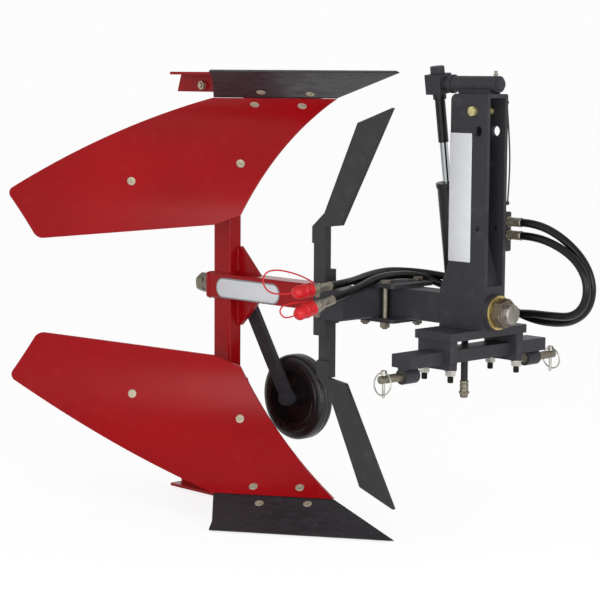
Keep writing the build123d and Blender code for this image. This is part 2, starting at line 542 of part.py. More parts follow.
# Carrier tube with its rear cap, held on the cross arm by a long stud and nut
arm_length = hypot(WHEEL_X - PIVOT_X, WHEEL_Z)
arm_way = Vector((WHEEL_X - PIVOT_X) / arm_length, 0, WHEEL_Z / arm_length)
peg_side = Vector(arm_way.Z, 0, -arm_way.X)
peg = arm_way * PEG_OUT + peg_side * ((ARM_W + PEG_D) / 2 + SIDE_PLAY)
with BuildPart() as carrier_tube:
    with BuildSketch(along_x(CARRIER_REAR, CARRIER_Y)):
        RectangleRounded(CARRIER, CARRIER, CARRIER_WALL)
    extrude(amount=ARM_REAR - CARRIER_REAR)
    with BuildSketch(along_x(CARRIER_REAR, CARRIER_Y)):
        Rectangle(CARRIER - 2 * CARRIER_WALL, CARRIER - 2 * CARRIER_WALL)
    extrude(amount=ARM_REAR - CARRIER_REAR, mode=Mode.SUBTRACT)
    with BuildSketch(along_x(CARRIER_CAP, CARRIER_Y)):
        RectangleRounded(CARRIER + 2, CARRIER + 2, CARRIER_WALL + 1)
    extrude(amount=CAP_T)
    with BuildSketch(along_x(CARRIER_CAP, CARRIER_Y)):
        Circle(STUD_ROD_D / 2 + BOLT_PLAY)
    extrude(amount=CAP_T, mode=Mode.SUBTRACT)
    boss_far = CARRIER_Y + CARRIER / 2
    add(stepped(along_y(PIVOT_X, boss_far, 0),
                [(WHEEL_ARM_Y - boss_far - SIDE_PLAY, PIVOT_BOSS_D), (ARM_T + 2 * SIDE_PLAY, PIVOT_D),
                 (6, PIVOT_D + 10)]))
    for way in (-1, 1):
        add(stepped(along_y(PIVOT_X + peg.X, boss_far - CARRIER_WALL, -way * peg.Z),
                    [(WHEEL_ARM_Y + ARM_T - boss_far + CARRIER_WALL, PEG_D)]))
save(carrier_tube, "carrier_tube")

with BuildPart() as draw_stud:
    rear_end = CARRIER_CAP - 2 * STUD_NUT_H - STUD_TAIL
    add(stepped(along_x(rear_end, CARRIER_Y), [(ARM_REAR + BEAM_WALL - rear_end, STUD_ROD_D)]))
    chamfer(draw_stud.edges().filter_by(GeomType.CIRCLE).group_by(Axis.X)[0], 2)
    for step, turn in ((0, 0), (1, radians(LOCK_TURN))):
        nut_plane = Plane((CARRIER_CAP - step * STUD_NUT_H, CARRIER_Y, AXIS_Z),
                          x_dir=(0, cos(turn), sin(turn)), z_dir=(-1, 0, 0))
        add(hex_nut(nut_plane, STUD_NUT_AF, STUD_NUT_H, STUD_ROD_D + 0.2))
save(draw_stud, "draw_stud")

# Post above and below the carrier tube, with a gusset in each front corner
with BuildPart() as body_post:
    for way in (-1, 1):
        with BuildSketch(along_z(POST_MID, CARRIER_Y, way * CARRIER / 2, way)):
            RectangleRounded(POST_X, POST_Y, POST_WALL)
            Rectangle(POST_X - 2 * POST_WALL, POST_Y - 2 * POST_WALL, mode=Mode.SUBTRACT)
        extrude(amount=POST_TOP - CARRIER / 2)
save(body_post, "body_post")

gusset_y = CARRIER_Y + POST_Y / 2
with BuildPart() as gussets:
    for way in (-1, 1):
        with BuildSketch(side_at(gusset_y)):
            with BuildLine():
                Polyline((POST_MID + POST_X / 2, way * CARRIER / 2), (GUSSET_FOOT, way * CARRIER / 2),
                         (POST_MID + POST_X / 2 + 6, way * GUSSET_TOP),
                         (POST_MID + POST_X / 2, way * GUSSET_TOP), close=True)
            make_face()
        extrude(amount=GUSSET_T)
save(gussets, "gussets")


# Plough bodies. A point on the rolled board is given by its distance along the cutting edge and
# its height, a point on the share by its distance along the edge and up the share's slope.
def board_point(along, height):
    """Front-face point of the rolled board and the direction that it faces there."""
    out = FACING * -sin(acos((height - ROLL_Z) / ROLL_R)) + UP * ((height - ROLL_Z) / ROLL_R)
    centre = ALONG * along + FACING * ROLL_D + UP * (AXIS_Z + ROLL_Z)
    return centre + out * ROLL_R, out * -1


pitch = radians(SHARE_PITCH)
SLOPE = FACING * -cos(pitch) + UP * -sin(pitch)
SHARE_UNDER = (ALONG * -1).cross(SLOPE)
SHARE_ORIGIN = FACING * SHARE_EDGE_D + UP * (AXIS_Z + SHARE_EDGE_Z)
SHARE_FACE = Plane(SHARE_ORIGIN, x_dir=ALONG * -1, z_dir=SHARE_UNDER)
ROLL = Plane((0, 0, AXIS_Z), x_dir=FACING, z_dir=ALONG)
ELEVATION = Plane(Vector(0, 0, AXIS_Z) + FACING * -160, x_dir=ALONG * -1, z_dir=FACING)


def bolt_planes():
    """For each bolt of the upper body: a plane on the plate's face behind its head, and its grip."""
    planes = []
    for along, height in BOARD_BOLTS:
        point, facing = board_point(along, height)
        planes.append((Plane(point, x_dir=ALONG, z_dir=facing), BOARD_T))
    for along, up in SHARE_BOLTS:
        point = SHARE_ORIGIN + ALONG * along + SLOPE * up
        planes.append((Plane(point, x_dir=ALONG, z_dir=SHARE_UNDER * -1), SHARE_T + SEAT_T))
    for x in LANDSIDE_BOLTS_X:
        behind = WEB_T if x > POST_MID else 0
        planes.append((along_y(x, web_far + LANDSIDE_T, LANDSIDE_BOLTS_Z), LANDSIDE_T + behind))
    return planes


def bolt_holes(planes, diameter, depth):
    """Cylinders that clear a row of bolts, from just in front of the plate back to a depth."""
    with BuildPart() as holes:
        for plane, _ in planes:
            with BuildSketch(plane.offset(3)):
                Circle(diameter / 2)
            extrude(amount=-(depth + 3))
    return holes.part


web_far = WEB_Y + WEB_T / 2
board_count, share_count = len(BOARD_BOLTS), len(BOARD_BOLTS) + len(SHARE_BOLTS)
board_bolts, share_bolts = bolt_planes()[:board_count], bolt_planes()[board_count:share_count]
landside_bolts = bolt_planes()[share_count:]
head_hole, shank_hole = BOLT_HEAD_D + 0.2, BOLT_SHANK_D + 2 * BOLT_PLAY
nut_hole, nut_depth = BOLT_NUT_AF * 1.155 + 0.8, BOARD_T + BOLT_NUT_H + BOLT_TAIL
with BuildPart() as upper_mouldboard:
    with BuildSketch(ROLL.offset(SHARE_FRONT - BOARD_LEAD)):
        with BuildLine():
            front = CenterArc((ROLL_D, ROLL_Z), ROLL_R, 118, 80)
            back = CenterArc((ROLL_D, ROLL_Z), ROLL_R + BOARD_T, 118, 80)
            Line(front @ 0, back @ 0)
            Line(front @ 1, back @ 1)
        make_face()
    extrude(amount=BOARD_RUN)
    with BuildSketch(ELEVATION):
        with BuildLine():
            front, heel = (SHARE_FRONT, SEAM_Z), (SHARE_REAR + 2, SEAM_Z)
            ThreePointArc(*[(-along, z) for along, z in (front, BOARD_SHIN, BOARD_SHIN_LOW)])
            outline = (BOARD_SHIN_LOW, BOARD_KNEE, BOARD_TAIL_LOW, BOARD_TAIL_HIGH)
            Polyline(*[(-along, z) for along, z in outline])
            ThreePointArc(*[(-along, z) for along, z in (BOARD_TAIL_HIGH, BOARD_TREAD, heel)])
            Line(*[(-along, z) for along, z in (heel, front)])
        make_face()
        fillet(vertices().group_by(Axis.X)[0], 14)
        fillet(vertices().group_by(Axis.Y)[0], 26)
    extrude(amount=130, both=True, mode=Mode.INTERSECT)
    add(bolt_holes(board_bolts, head_hole, BOLT_SUNK), mode=Mode.SUBTRACT)
    add(bolt_holes(board_bolts, shank_hole, 2 * BOARD_T), mode=Mode.SUBTRACT)
save(upper_mouldboard, "upper_mouldboard")

with BuildPart() as upper_share:
    with BuildSketch(SHARE_FACE):
        with BuildLine():
            Polyline((-SHARE_TIP, 0), (-SHARE_WING, 0), (-SHARE_WING, 28), (-SHARE_REAR, SHARE_DEPTH),
                     (-SHARE_FRONT, SHARE_DEPTH), close=True)
        make_face()
    extrude(amount=SHARE_T)
    edge = upper_share.edges().filter_by(lambda e: abs(e.length - (SHARE_WING - SHARE_TIP)) < 0.5)
    chamfer(edge.sort_by(Axis.Z)[-1], SHARE_T - 1.5)
    add(bolt_holes(share_bolts, head_hole, BOLT_SUNK), mode=Mode.SUBTRACT)
    add(bolt_holes(share_bolts, shank_hole, SHARE_T), mode=Mode.SUBTRACT)
save(upper_share, "upper_share")

with BuildPart() as upper_bolts:
    for plane, grip in bolt_planes():
        back = Plane(plane.origin, x_dir=plane.x_dir, z_dir=plane.z_dir * -1)
        add(stepped(back.offset(-1), [(1 + BOLT_SUNK, BOLT_HEAD_D),
                                      (grip - BOLT_SUNK + BOLT_NUT_H + BOLT_TAIL, BOLT_SHANK_D)]))
        add(hex_bolt(back.offset(grip), BOLT_NUT_AF, BOLT_NUT_H, BOLT_SHANK_D, 0.1))
with BuildPart() as body_bolts:
    add(upper_bolts.part)
    mirror(upper_bolts.part, about=AXIS_LEVEL)
save(body_bolts, "body_bolts")

# Frog: a web on the post, a seat under the share, and stays to the board's bolts
with BuildPart() as upper_frog:
    with BuildSketch(side_at(web_far)):
        with BuildLine():
            Polyline((POST_MID + POST_X / 2, WEB_LOW), *[(-x, z) for x, z in WEB_EDGE],
                     (-WEB_EDGE[-1][0], WEB_HIGH), (-WEB_BACK, WEB_HIGH), (POST_MID + POST_X / 2, POST_TOP),
                     close=True)
        make_face()
    extrude(amount=WEB_T)
    with BuildSketch(SHARE_FACE.offset(SHARE_T)):
        with BuildLine():
            Polyline((-SEAT_FRONT, SEAT_LOW), (-SEAT_REAR, SEAT_LOW), (-SEAT_REAR, SEAT_HIGH - SEAT_T * 5),
                     (-SEAT_FRONT - SEAT_T * 4, SEAT_HIGH), (-SEAT_FRONT, SEAT_HIGH), close=True)
        make_face()
    extrude(amount=SEAT_T)
    for (along, height), foot in zip(BOARD_BOLTS, STAY_FEET):
        point, facing = board_point(along, height)
        begin = point - facing * nut_depth
        end = Vector(-foot, WEB_Y, AXIS_Z + height)
        with BuildSketch(Plane(begin, z_dir=end - begin)):
            Circle(STAY_D / 2)
        extrude(amount=(end - begin).length)
    with BuildSketch(ROLL.offset(SHARE_FRONT - BOARD_LEAD)):
        with Locations((ROLL_D, ROLL_Z)):
            Circle(ROLL_R + BOARD_T)
    extrude(amount=BOARD_RUN, mode=Mode.SUBTRACT)
    add(bolt_holes(board_bolts, nut_hole, nut_depth), mode=Mode.SUBTRACT)
    add(bolt_holes(share_bolts, shank_hole, SHARE_T + SEAT_T), mode=Mode.SUBTRACT)
    add(bolt_holes(landside_bolts, shank_hole, LANDSIDE_T + WEB_T), mode=Mode.SUBTRACT)
    with BuildSketch(along_z(POST_MID, CARRIER_Y, 0)):
        Rectangle(POST_X, POST_Y)
    extrude(amount=POST_TOP, mode=Mode.SUBTRACT)
save(upper_frog, "upper_frog")

with BuildPart() as upper_landside:
    with BuildSketch(side_at(web_far + LANDSIDE_T)):
        with BuildLine():
            Polyline((LANDSIDE_FRONT, LANDSIDE_LOW), (LANDSIDE_FRONT, LANDSIDE_HIGH),
                     (LANDSIDE_REAR + LANDSIDE_HEEL, LANDSIDE_HIGH), (LANDSIDE_REAR, LANDSIDE_LOW), close=True)
        make_face()
    extrude(amount=LANDSIDE_T)
    with BuildSketch(along_z(0, 0, LANDSIDE_HIGH)):
        with Locations(((LANDSIDE_FRONT + LANDSIDE_REAR + LANDSIDE_HEEL) / 2, web_far - LANDSIDE_SOLE / 2 + 1)):
            Rectangle(LANDSIDE_FRONT - LANDSIDE_REAR - LANDSIDE_HEEL, LANDSIDE_SOLE)
    extrude(amount=-LANDSIDE_T)
    add(bolt_holes(landside_bolts, head_hole, BOLT_SUNK), mode=Mode.SUBTRACT)
    add(bolt_holes(landside_bolts, shank_hole, LANDSIDE_T), mode=Mode.SUBTRACT)
save(upper_landside, "upper_landside")

for name, half in (("mouldboard", upper_mouldboard), ("share", upper_share), ("frog", upper_frog),
                   ("landside", upper_landside)):
    with BuildPart() as lower_half:
        mirror(half.part, about=AXIS_LEVEL)
    save(lower_half, f"lower_{name}")

# Turnover cylinder, drawn along its own leaning axis from the crank pin up to the swivel block
lean = radians(CYLINDER_LEAN)
CYLINDER_UP = Vector(0, -sin(lean), cos(lean))
CRANK = Vector(BLOCK_X, CRANK_Y, AXIS_Z)


def cylinder_at(level):
    """Plane across the cylinder at a distance from its crank pin."""
    return Plane(CRANK + CYLINDER_UP * level, x_dir=(1, 0, 0), z_dir=CYLINDER_UP)


eye_width = LUG_GAP - 2 * SIDE_PLAY
with BuildPart() as cylinder_barrel:
    with BuildSketch(cylinder_at(BARREL_FOOT)):
        Circle(BARREL_D / 2)
    extrude(amount=BARREL_TOP - BARREL_FOOT)
    with BuildSketch(along_x(BLOCK_X - eye_width / 2, CRANK_Y)):
        Circle(LUG_R - 2)
    extrude(amount=eye_width)
    with BuildSketch(cylinder_at(0)):
        Rectangle(eye_width, 2 * LUG_R - 6)
    extrude(amount=BARREL_FOOT)
    with BuildSketch(along_x(BLOCK_X - eye_width, CRANK_Y)):
        Circle(CRANK_PIN_D / 2 + RUNNING_FIT)
    extrude(amount=2 * eye_width, mode=Mode.SUBTRACT)
    with BuildSketch(cylinder_at(BARREL_FOOT + 8)):
        Circle(BARREL_BORE / 2)
    extrude(amount=BARREL_TOP - BARREL_FOOT - 8, mode=Mode.SUBTRACT)
save(cylinder_barrel, "cylinder_barrel")

with BuildPart() as cylinder_gland:
    with BuildSketch(cylinder_at(BARREL_TOP)):
        Circle(GLAND_D / 2)
    extrude(amount=GLAND_H)
    with BuildSketch(cylinder_at(BARREL_TOP - 20)):
        Circle(BARREL_BORE / 2)
    extrude(amount=20)
    with BuildSketch(cylinder_at(BARREL_TOP - 20)):
        Circle(ROD_D / 2 + RUNNING_FIT)
    extrude(amount=20 + GLAND_H, mode=Mode.SUBTRACT)
save(cylinder_gland, "cylinder_gland")

block_low = CYLINDER_LENGTH - BLOCK_SIZE / 2
with BuildPart() as piston_rod:
    with BuildSketch(cylinder_at(BARREL_FOOT + ROD_LOW)):
        Circle(BARREL_BORE / 2 - RUNNING_FIT)
    extrude(amount=24)
    with BuildSketch(cylinder_at(BARREL_FOOT + ROD_LOW)):
        Circle(ROD_D / 2)
    extrude(amount=ROD_SLEEVE_LOW + 30 - BARREL_FOOT - ROD_LOW)
save(piston_rod, "piston_rod")

with BuildPart() as rod_sleeve:
    with BuildSketch(cylinder_at(ROD_SLEEVE_LOW)):
        Circle(ROD_SLEEVE_D / 2)
    extrude(amount=block_low - ROD_SLEEVE_LOW)
    with BuildSketch(cylinder_at(block_low - ROD_COLLAR_H)):
        Circle(ROD_COLLAR_D / 2)
    extrude(amount=ROD_COLLAR_H)
    with BuildSketch(cylinder_at(ROD_SLEEVE_LOW)):
        Circle(ROD_D / 2)
    extrude(amount=30, mode=Mode.SUBTRACT)
save(rod_sleeve, "rod_sleeve")

with BuildPart() as swivel_block:
    with BuildSketch(cylinder_at(block_low)):
        RectangleRounded(BLOCK_SIZE, BLOCK_SIZE, 2)
    extrude(amount=BLOCK_SIZE)
    with BuildSketch(cylinder_at(block_low + BLOCK_SIZE)):
        Circle(BLOCK_BOLT_D / 2 + BOLT_PLAY)
    extrude(amount=-BLOCK_SIZE, mode=Mode.SUBTRACT)
save(swivel_block, "swivel_block")

with BuildPart() as block_bolt:
    add(hex_bolt(cylinder_at(block_low + BLOCK_SIZE), BLOCK_BOLT_AF, BLOCK_BOLT_H, BLOCK_BOLT_D, BLOCK_SIZE))
save(block_bolt, "block_bolt")

# Depth wheel on its swinging arm
tilt_plane = Plane((PIVOT_X, WHEEL_ARM_Y, AXIS_Z), x_dir=arm_way, z_dir=(0, 1, 0))
with BuildPart() as wheel_arm:
    with BuildSketch(tilt_plane):
        with Locations((arm_length / 2, 0)):
            SlotCenterToCenter(arm_length, ARM_W)
        Circle(PIVOT_BOSS_D / 2)
        Circle(PIVOT_D / 2 + RUNNING_FIT, mode=Mode.SUBTRACT)
    extrude(amount=ARM_T)
    axle = along_y(WHEEL_X, WHEEL_ARM_Y, WHEEL_Z)
    add(stepped(axle, [(ARM_T, AXLE_D), (5 - SIDE_PLAY, AXLE_D + 10), (WHEEL_W + 2 * SIDE_PLAY, AXLE_D),
                       (6, AXLE_D + 10)]))
    add(stepped(along_y(WHEEL_X, WHEEL_ARM_Y, WHEEL_Z, -1), [(8, AXLE_D + 8)]))
save(wheel_arm, "wheel_arm")

with BuildPart() as wheel_hub:
    with BuildSketch(along_y(WHEEL_X, WHEEL_Y - WHEEL_W / 2, WHEEL_Z)):
        Circle(AXLE_D)
    extrude(amount=WHEEL_W)
    with BuildSketch(along_y(WHEEL_X, WHEEL_Y - 4, WHEEL_Z)):
        Circle(RIM_D / 2 - 1)
    extrude(amount=8)
    with BuildSketch(along_y(WHEEL_X, WHEEL_Y - WHEEL_W / 2 + 4, WHEEL_Z)):
        Circle(RIM_D / 2)
        Circle(RIM_D / 2 - 5, mode=Mode.SUBTRACT)
    extrude(amount=WHEEL_W - 8)
    with BuildSketch(along_y(WHEEL_X, WHEEL_Y - WHEEL_W, WHEEL_Z)):
        Circle(AXLE_D / 2 + RUNNING_FIT)
    extrude(amount=2 * WHEEL_W, mode=Mode.SUBTRACT)
save(wheel_hub, "wheel_hub")

with BuildPart() as wheel_tyre:
    with BuildSketch(along_y(WHEEL_X, WHEEL_Y - WHEEL_W / 2, WHEEL_Z)):
        Circle(WHEEL_D / 2)
        Circle(RIM_D / 2, mode=Mode.SUBTRACT)
    extrude(amount=WHEEL_W)
    fillet(wheel_tyre.edges().filter_by(GeomType.CIRCLE).sort_by(SortBy.RADIUS)[-2:], 8)
save(wheel_tyre, "wheel_tyre")

# Hydraulics: valve block, hose unions, hoses, couplers with dust caps
with BuildPart() as valve_block:
    with BuildSketch(along_y(VALVE_X, TOWER_HALF, VALVE_Z)):
        Rectangle(VALVE[0], VALVE[2])
    extrude(amount=VALVE[1])
    chamfer(valve_block.edges().filter_by(Axis.Y), 2)
save(valve_block, "valve_block")

valve_front = VALVE_X + VALVE[0] / 2
with BuildPart() as hose_unions:
    for z in (HOSE_A_Z, HOSE_B_Z):
        with BuildSketch(along_x(valve_front, HOSE_START_Y, z)):
            RegularPolygon(UNION_AF / 2, 6, major_radius=False)
        extrude(amount=UNION_L)
        add(stepped(along_x(valve_front + UNION_L, HOSE_START_Y, z), [(FERRULE_L, FERRULE_D)]))
save(hose_unions, "hose_unions")

hose_x = valve_front + UNION_L + FERRULE_L
HOSE_A_FRONT = [(hose_x, 45, HOSE_A_Z), (120, 45, HOSE_A_Z), (172, 54, 148), (214, 67, 108), (233, 73, 57),
                (224, 77, 10), (188, 80, -14), (134, 83, -22), (72, 87, -18), (10, 91, 0), (-42, 95, 24),
                (-88, 98, 44), (HOSE_CUT, 98, 44)]
HOSE_B_FRONT = [(hose_x, 45, HOSE_B_Z), (120, 45, HOSE_B_Z), (174, 45, 130), (217, 46, 102), (240, 47, 60),
                (232, 49, 22), (198, 52, 0), (142, 57, -2), (84, 64, -4), (24, 71, -12), (-34, 84, -6),
                (-86, 99, 20), (HOSE_CUT, 99, 20)]
HOSE_A_REAR = [(HOSE_CUT, 98, 44), (-184, 98, 44), (-232, 72, 60), (-236, 6, 63), (-228, -50, 57),
               (-217, -102, 48), (-210, -142, 43), (-208, -176, 41)]
HOSE_B_REAR = [(HOSE_CUT, 99, 20), (-150, 99, 20), (-180, 88, 33), (-202, 62, 47), (-207, 20, 53),
               (-199, -40, 56), (-190, -94, 43), (-185, -146, 28), (-184, -192, 18)]
save(hose(HOSE_A_FRONT, HOSE_D, "hose_a_front"), "hose_a_front")
save(hose(HOSE_B_FRONT, HOSE_D, "hose_b_front"), "hose_b_front")
save(hose(HOSE_A_REAR, HOSE_D, "hose_a_rear"), "hose_a_rear")
save(hose(HOSE_B_REAR, HOSE_D, "hose_b_rear"), "hose_b_rear")


def hose_end(points):
    """Plane at a hose's last point, facing on along it."""
    before, last = (Vector(x, y, AXIS_Z + z) for x, y, z in points[-2:])
    return Plane(last, x_dir=(1, 0, 0), z_dir=last - before)


with BuildPart() as hose_couplers:
    for points in (HOSE_A_REAR, HOSE_B_REAR):
        add(stepped(hose_end(points), [(COUPLER_FERRULE, FERRULE_D), (COUPLER_BODY, COUPLER_D),
                                       (COUPLER_L, FERRULE_D)]))
save(hose_couplers, "hose_couplers")

with BuildPart() as dust_caps:
    for points in (HOSE_A_REAR, HOSE_B_REAR):
        start = hose_end(points).offset(COUPLER_FERRULE + COUPLER_BODY)
        with BuildSketch(start):
            Circle(DUST_CAP_D / 2)
            Circle(FERRULE_D / 2, mode=Mode.SUBTRACT)
        extrude(amount=COUPLER_L)
        with BuildSketch(start.offset(COUPLER_L)):
            Circle(DUST_CAP_D / 2)
        extrude(amount=DUST_CAP_L - COUPLER_L)
    fillet(dust_caps.edges().filter_by(GeomType.CIRCLE).group_by(Axis.Y)[0], 5)
save(dust_caps, "dust_caps")

with BuildPart() as drain_hose:
    add(stepped(along_z(DRAIN_X, DRAIN_Y, BASE_TOP - BASE_T, -1), [(DRAIN_L, DRAIN_D)]))
save(drain_hose, "drain_hose")

with BuildPart() as drain_fitting:
    add(stepped(along_z(DRAIN_X, DRAIN_Y, BASE_TOP - BASE_T - DRAIN_L, -1),
                [(22, DRAIN_D + 3), (4, DRAIN_D + 9), (9, DRAIN_D + 2)]))
    fillet(drain_fitting.edges().filter_by(GeomType.CIRCLE).group_by(Axis.Z)[0], 3)
save(drain_fitting, "drain_fitting")

# Lanyard with a knob at each end, hung on the left-hand plate of the tower
LANYARD_D, LANYARD_KNOB = 3.0, 8.0
lanyard_y = TOWER_HALF + LANYARD_KNOB / 2
LANYARD = [(50, lanyard_y, 396), (56, lanyard_y + 2, 330), (58, lanyard_y + 3, 266), (55, lanyard_y + 1, 206)]
with BuildPart() as lanyard:
    add(hose(LANYARD, LANYARD_D, "lanyard").part)
    with Locations(*[(x, y, AXIS_Z + z) for x, y, z in (LANYARD[0], LANYARD[-1])]):
        Sphere(LANYARD_KNOB / 2)
save(lanyard, "lanyard")
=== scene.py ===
"""Looks of the reversible plough: camera, light, finishes and the pieces that the solids leave plain."""

import json
from math import cos, pi, radians, sin

import bmesh
import bpy
from mathutils import Matrix, Vector


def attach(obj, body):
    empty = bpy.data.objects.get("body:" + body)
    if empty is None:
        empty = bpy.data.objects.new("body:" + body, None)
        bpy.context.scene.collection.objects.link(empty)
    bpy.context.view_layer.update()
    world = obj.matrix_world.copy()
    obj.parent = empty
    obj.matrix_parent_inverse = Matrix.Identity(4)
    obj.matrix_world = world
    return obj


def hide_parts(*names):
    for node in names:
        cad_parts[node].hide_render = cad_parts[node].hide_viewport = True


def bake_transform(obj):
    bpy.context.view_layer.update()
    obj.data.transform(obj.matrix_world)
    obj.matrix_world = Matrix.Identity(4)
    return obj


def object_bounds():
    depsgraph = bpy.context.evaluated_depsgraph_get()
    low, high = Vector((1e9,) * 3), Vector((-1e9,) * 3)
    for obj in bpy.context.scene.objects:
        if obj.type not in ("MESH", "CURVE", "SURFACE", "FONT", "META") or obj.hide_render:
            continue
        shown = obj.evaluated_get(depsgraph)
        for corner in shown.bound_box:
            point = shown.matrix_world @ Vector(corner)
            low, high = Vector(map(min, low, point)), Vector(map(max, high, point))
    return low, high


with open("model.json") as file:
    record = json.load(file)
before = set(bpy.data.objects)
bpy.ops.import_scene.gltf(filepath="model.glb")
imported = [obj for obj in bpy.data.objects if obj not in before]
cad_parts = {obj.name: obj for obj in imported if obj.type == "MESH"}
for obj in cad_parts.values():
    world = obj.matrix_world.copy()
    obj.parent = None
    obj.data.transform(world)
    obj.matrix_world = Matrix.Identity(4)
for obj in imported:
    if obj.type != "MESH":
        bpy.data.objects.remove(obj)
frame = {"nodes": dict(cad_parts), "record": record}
cad_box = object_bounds()
nodes = frame["nodes"]
scene = bpy.context.scene
scene.view_settings.view_transform = "Standard"

# Lengths below are in millimetres unless a name or comment says otherwise.
MM = 0.001
AXIS_Z = 110.0  # height of the turnover axis above the hitch pins
LAP = 0.5  # how far the shapes of one piece run into each other
SHARP = radians(38)  # edges that turn by more than this stay sharp
FORWARD, BACK, LEFT = Vector((1, 0, 0)), Vector((-1, 0, 0)), Vector((0, 1, 0))
UP, DOWN = Vector((0, 0, 1)), Vector((0, 0, -1))


def spot(x, y, z):
    """A place on the part, in metres, from millimetres with the height measured from the turnover axis."""
    return Vector((x, y, z + AXIS_Z)) * MM


def show(name, data):
    """A new object in the scene."""
    made = bpy.data.objects.new(name, data)
    scene.collection.objects.link(made)
    return made


# Camera

CAMERA_AZIMUTH, CAMERA_ELEVATION, CAMERA_ROLL = radians(46.08), radians(6.77), radians(0.36)
CAMERA_PLACE = (2.3896, -2.7589, 0.5579)  # metres
CAMERA_LENS, CAMERA_SENSOR = 114.5, 36


def place_camera():
    """The photograph's camera: its place, turn and lens."""
    right = Vector((cos(CAMERA_AZIMUTH), sin(CAMERA_AZIMUTH), 0))
    level = Vector((sin(CAMERA_AZIMUTH), -cos(CAMERA_AZIMUTH), 0))
    back = level * cos(CAMERA_ELEVATION) + UP * sin(CAMERA_ELEVATION)
    turn = Matrix((right, back.cross(right), back)).transposed() @ Matrix.Rotation(CAMERA_ROLL, 3, "Z")
    camera = show("camera", bpy.data.cameras.new("camera"))
    camera.data.lens, camera.data.sensor_width = CAMERA_LENS, CAMERA_SENSOR
    camera.matrix_world = Matrix.Translation(CAMERA_PLACE) @ turn.to_4x4()
    scene.camera = camera


# Shader trees

class Value:
    """A socket of a node tree. Arithmetic on it adds Math nodes."""

    def __init__(self, tree, socket=None):
        self.tree, self.socket = tree, socket

    def join(self, socket, value):
        """Link a value into a socket, or set a plain one."""
        if isinstance(value, Value):
            self.tree.links.new(value.socket, socket)
        else:
            socket.default_value = value

    def node(self, kind, settings=None, sockets=None, out=0):
        """Add a node: first its settings, then its sockets' values or links; returns one output."""
        made = self.tree.nodes.new(kind)
        for name, value in (settings or {}).items():
            setattr(made, name, value)
        for name, value in (sockets or {}).items():
            self.join(made.inputs[name], value)
        return Value(self.tree, made.outputs[out])

    def math(self, operation, first, second):
        return self.node("ShaderNodeMath", {"operation": operation}, {0: first, 1: second})

    def __add__(self, other):
        return self.math("ADD", self, other)

    def __radd__(self, other):
        return self.math("ADD", other, self)

    def __sub__(self, other):
        return self.math("SUBTRACT", self, other)

    def __rsub__(self, other):
        return self.math("SUBTRACT", other, self)

    def __mul__(self, other):
        return self.math("MULTIPLY", self, other)

    def __rmul__(self, other):
        return self.math("MULTIPLY", other, self)

    def between(self, low, high):
        """This value's place between two limits, from 0 to 1, eased."""
        return self.node("ShaderNodeMapRange", {"interpolation_type": "SMOOTHSTEP"},
                         {"Value": self, "From Min": low, "From Max": high})

    def tint(self, first, second):
        """A colour between two, by this value."""
        return self.node("ShaderNodeMix", {"data_type": "RGBA"}, {0: self, 6: first, 7: second}, 2)

    def cloud(self, scale, detail=3.0, stretch=(1, 1, 1)):
        """Noise over this place, with so many clouds to the metre."""
        place = self.node("ShaderNodeVectorMath", {"operation": "MULTIPLY"}, {0: self, 1: stretch})
        return self.node("ShaderNodeTexNoise", {}, {"Vector": place, "Scale": scale, "Detail": detail})

    def cells(self, scale):
        """Distance to the nearest of scattered points."""
        return self.node("ShaderNodeTexVoronoi", {}, {"Vector": self, "Scale": scale})

    def bump(self, strength, depth):
        """The normal of a surface that this value raises by a depth in metres."""
        return self.node("ShaderNodeBump", {}, {"Strength": strength, "Distance": depth, "Height": self})


def rgb(red, green, blue):
    """A linear colour from the usual 0 to 255 values."""
    def linear(level):
        share = level / 255
        return share / 12.92 if share <= 0.04045 else ((share + 0.055) / 1.055) ** 2.4
    return (linear(red), linear(green), linear(blue), 1.0)


def shaded(colour, share):
    """A colour made darker or lighter."""
    return tuple(min(1.0, level * share) for level in colour[:3]) + (1.0,)


# Finishes

DUST = rgb(150, 140, 132)


def finish(name, **constants):
    """A new material with its constant sockets set; returns it, a way to fill a socket, and the place on the piece."""
    made = bpy.data.materials.new(name)
    made.use_nodes = True
    shader = made.node_tree.nodes["Principled BSDF"]
    for socket, value in constants.items():
        shader.inputs[socket.replace("_", " ")].default_value = value
    start = Value(made.node_tree)
    place = start.node("ShaderNodeTexCoord", out="Object")
    return made, lambda socket, value: start.join(shader.inputs[socket], value), place


def enamel(name, colour, dull, specular, dust, dust_tone=DUST):
    """Sprayed enamel: a slow drift of tone, a faint orange peel, dull patches and specks of dust."""
    made, put, place = finish(name, Specular_IOR_Level=specular)
    drift = place.cloud(6, 4).between(0.3, 0.7)
    grime = place.cloud(38, 6).between(0.52, 0.74) * dust
    specks = (1 - place.cells(260).between(0.06, 0.14)) * place.cloud(55, 2).between(0.58, 0.66)
    coat = drift.tint(shaded(colour, 0.93), shaded(colour, 1.07))
    coat = (grime * 0.5).tint(coat, dust_tone)
    put("Base Color", (specks * dust).tint(coat, dust_tone))
    put("Roughness", dull + 0.10 * place.cloud(30, 5) + 0.25 * grime)
    put("Normal", place.cloud(700, 2).bump(0.06, 0.0006))
    return made


def blade_steel(name, colour):
    """Hardened plate with a dark coat: rolling streaks, scuffs and a dull sheen."""
    made, put, place = finish(name, Specular_IOR_Level=0.2)
    streaks = place.cloud(26, 6, (1, 1, 7)).between(0.35, 0.7)
    scuffs = place.cloud(120, 8, (3, 1, 1)).between(0.60, 0.72)
    coat = streaks.tint(shaded(colour, 0.82), shaded(colour, 1.12))
    put("Base Color", (scuffs * 0.35).tint(coat, rgb(120, 116, 114)))
    put("Metallic", scuffs * 0.4)
    put("Roughness", 0.22 + 0.20 * streaks)
    put("Normal", place.cloud(420, 5).bump(0.10, 0.0008))
    return made


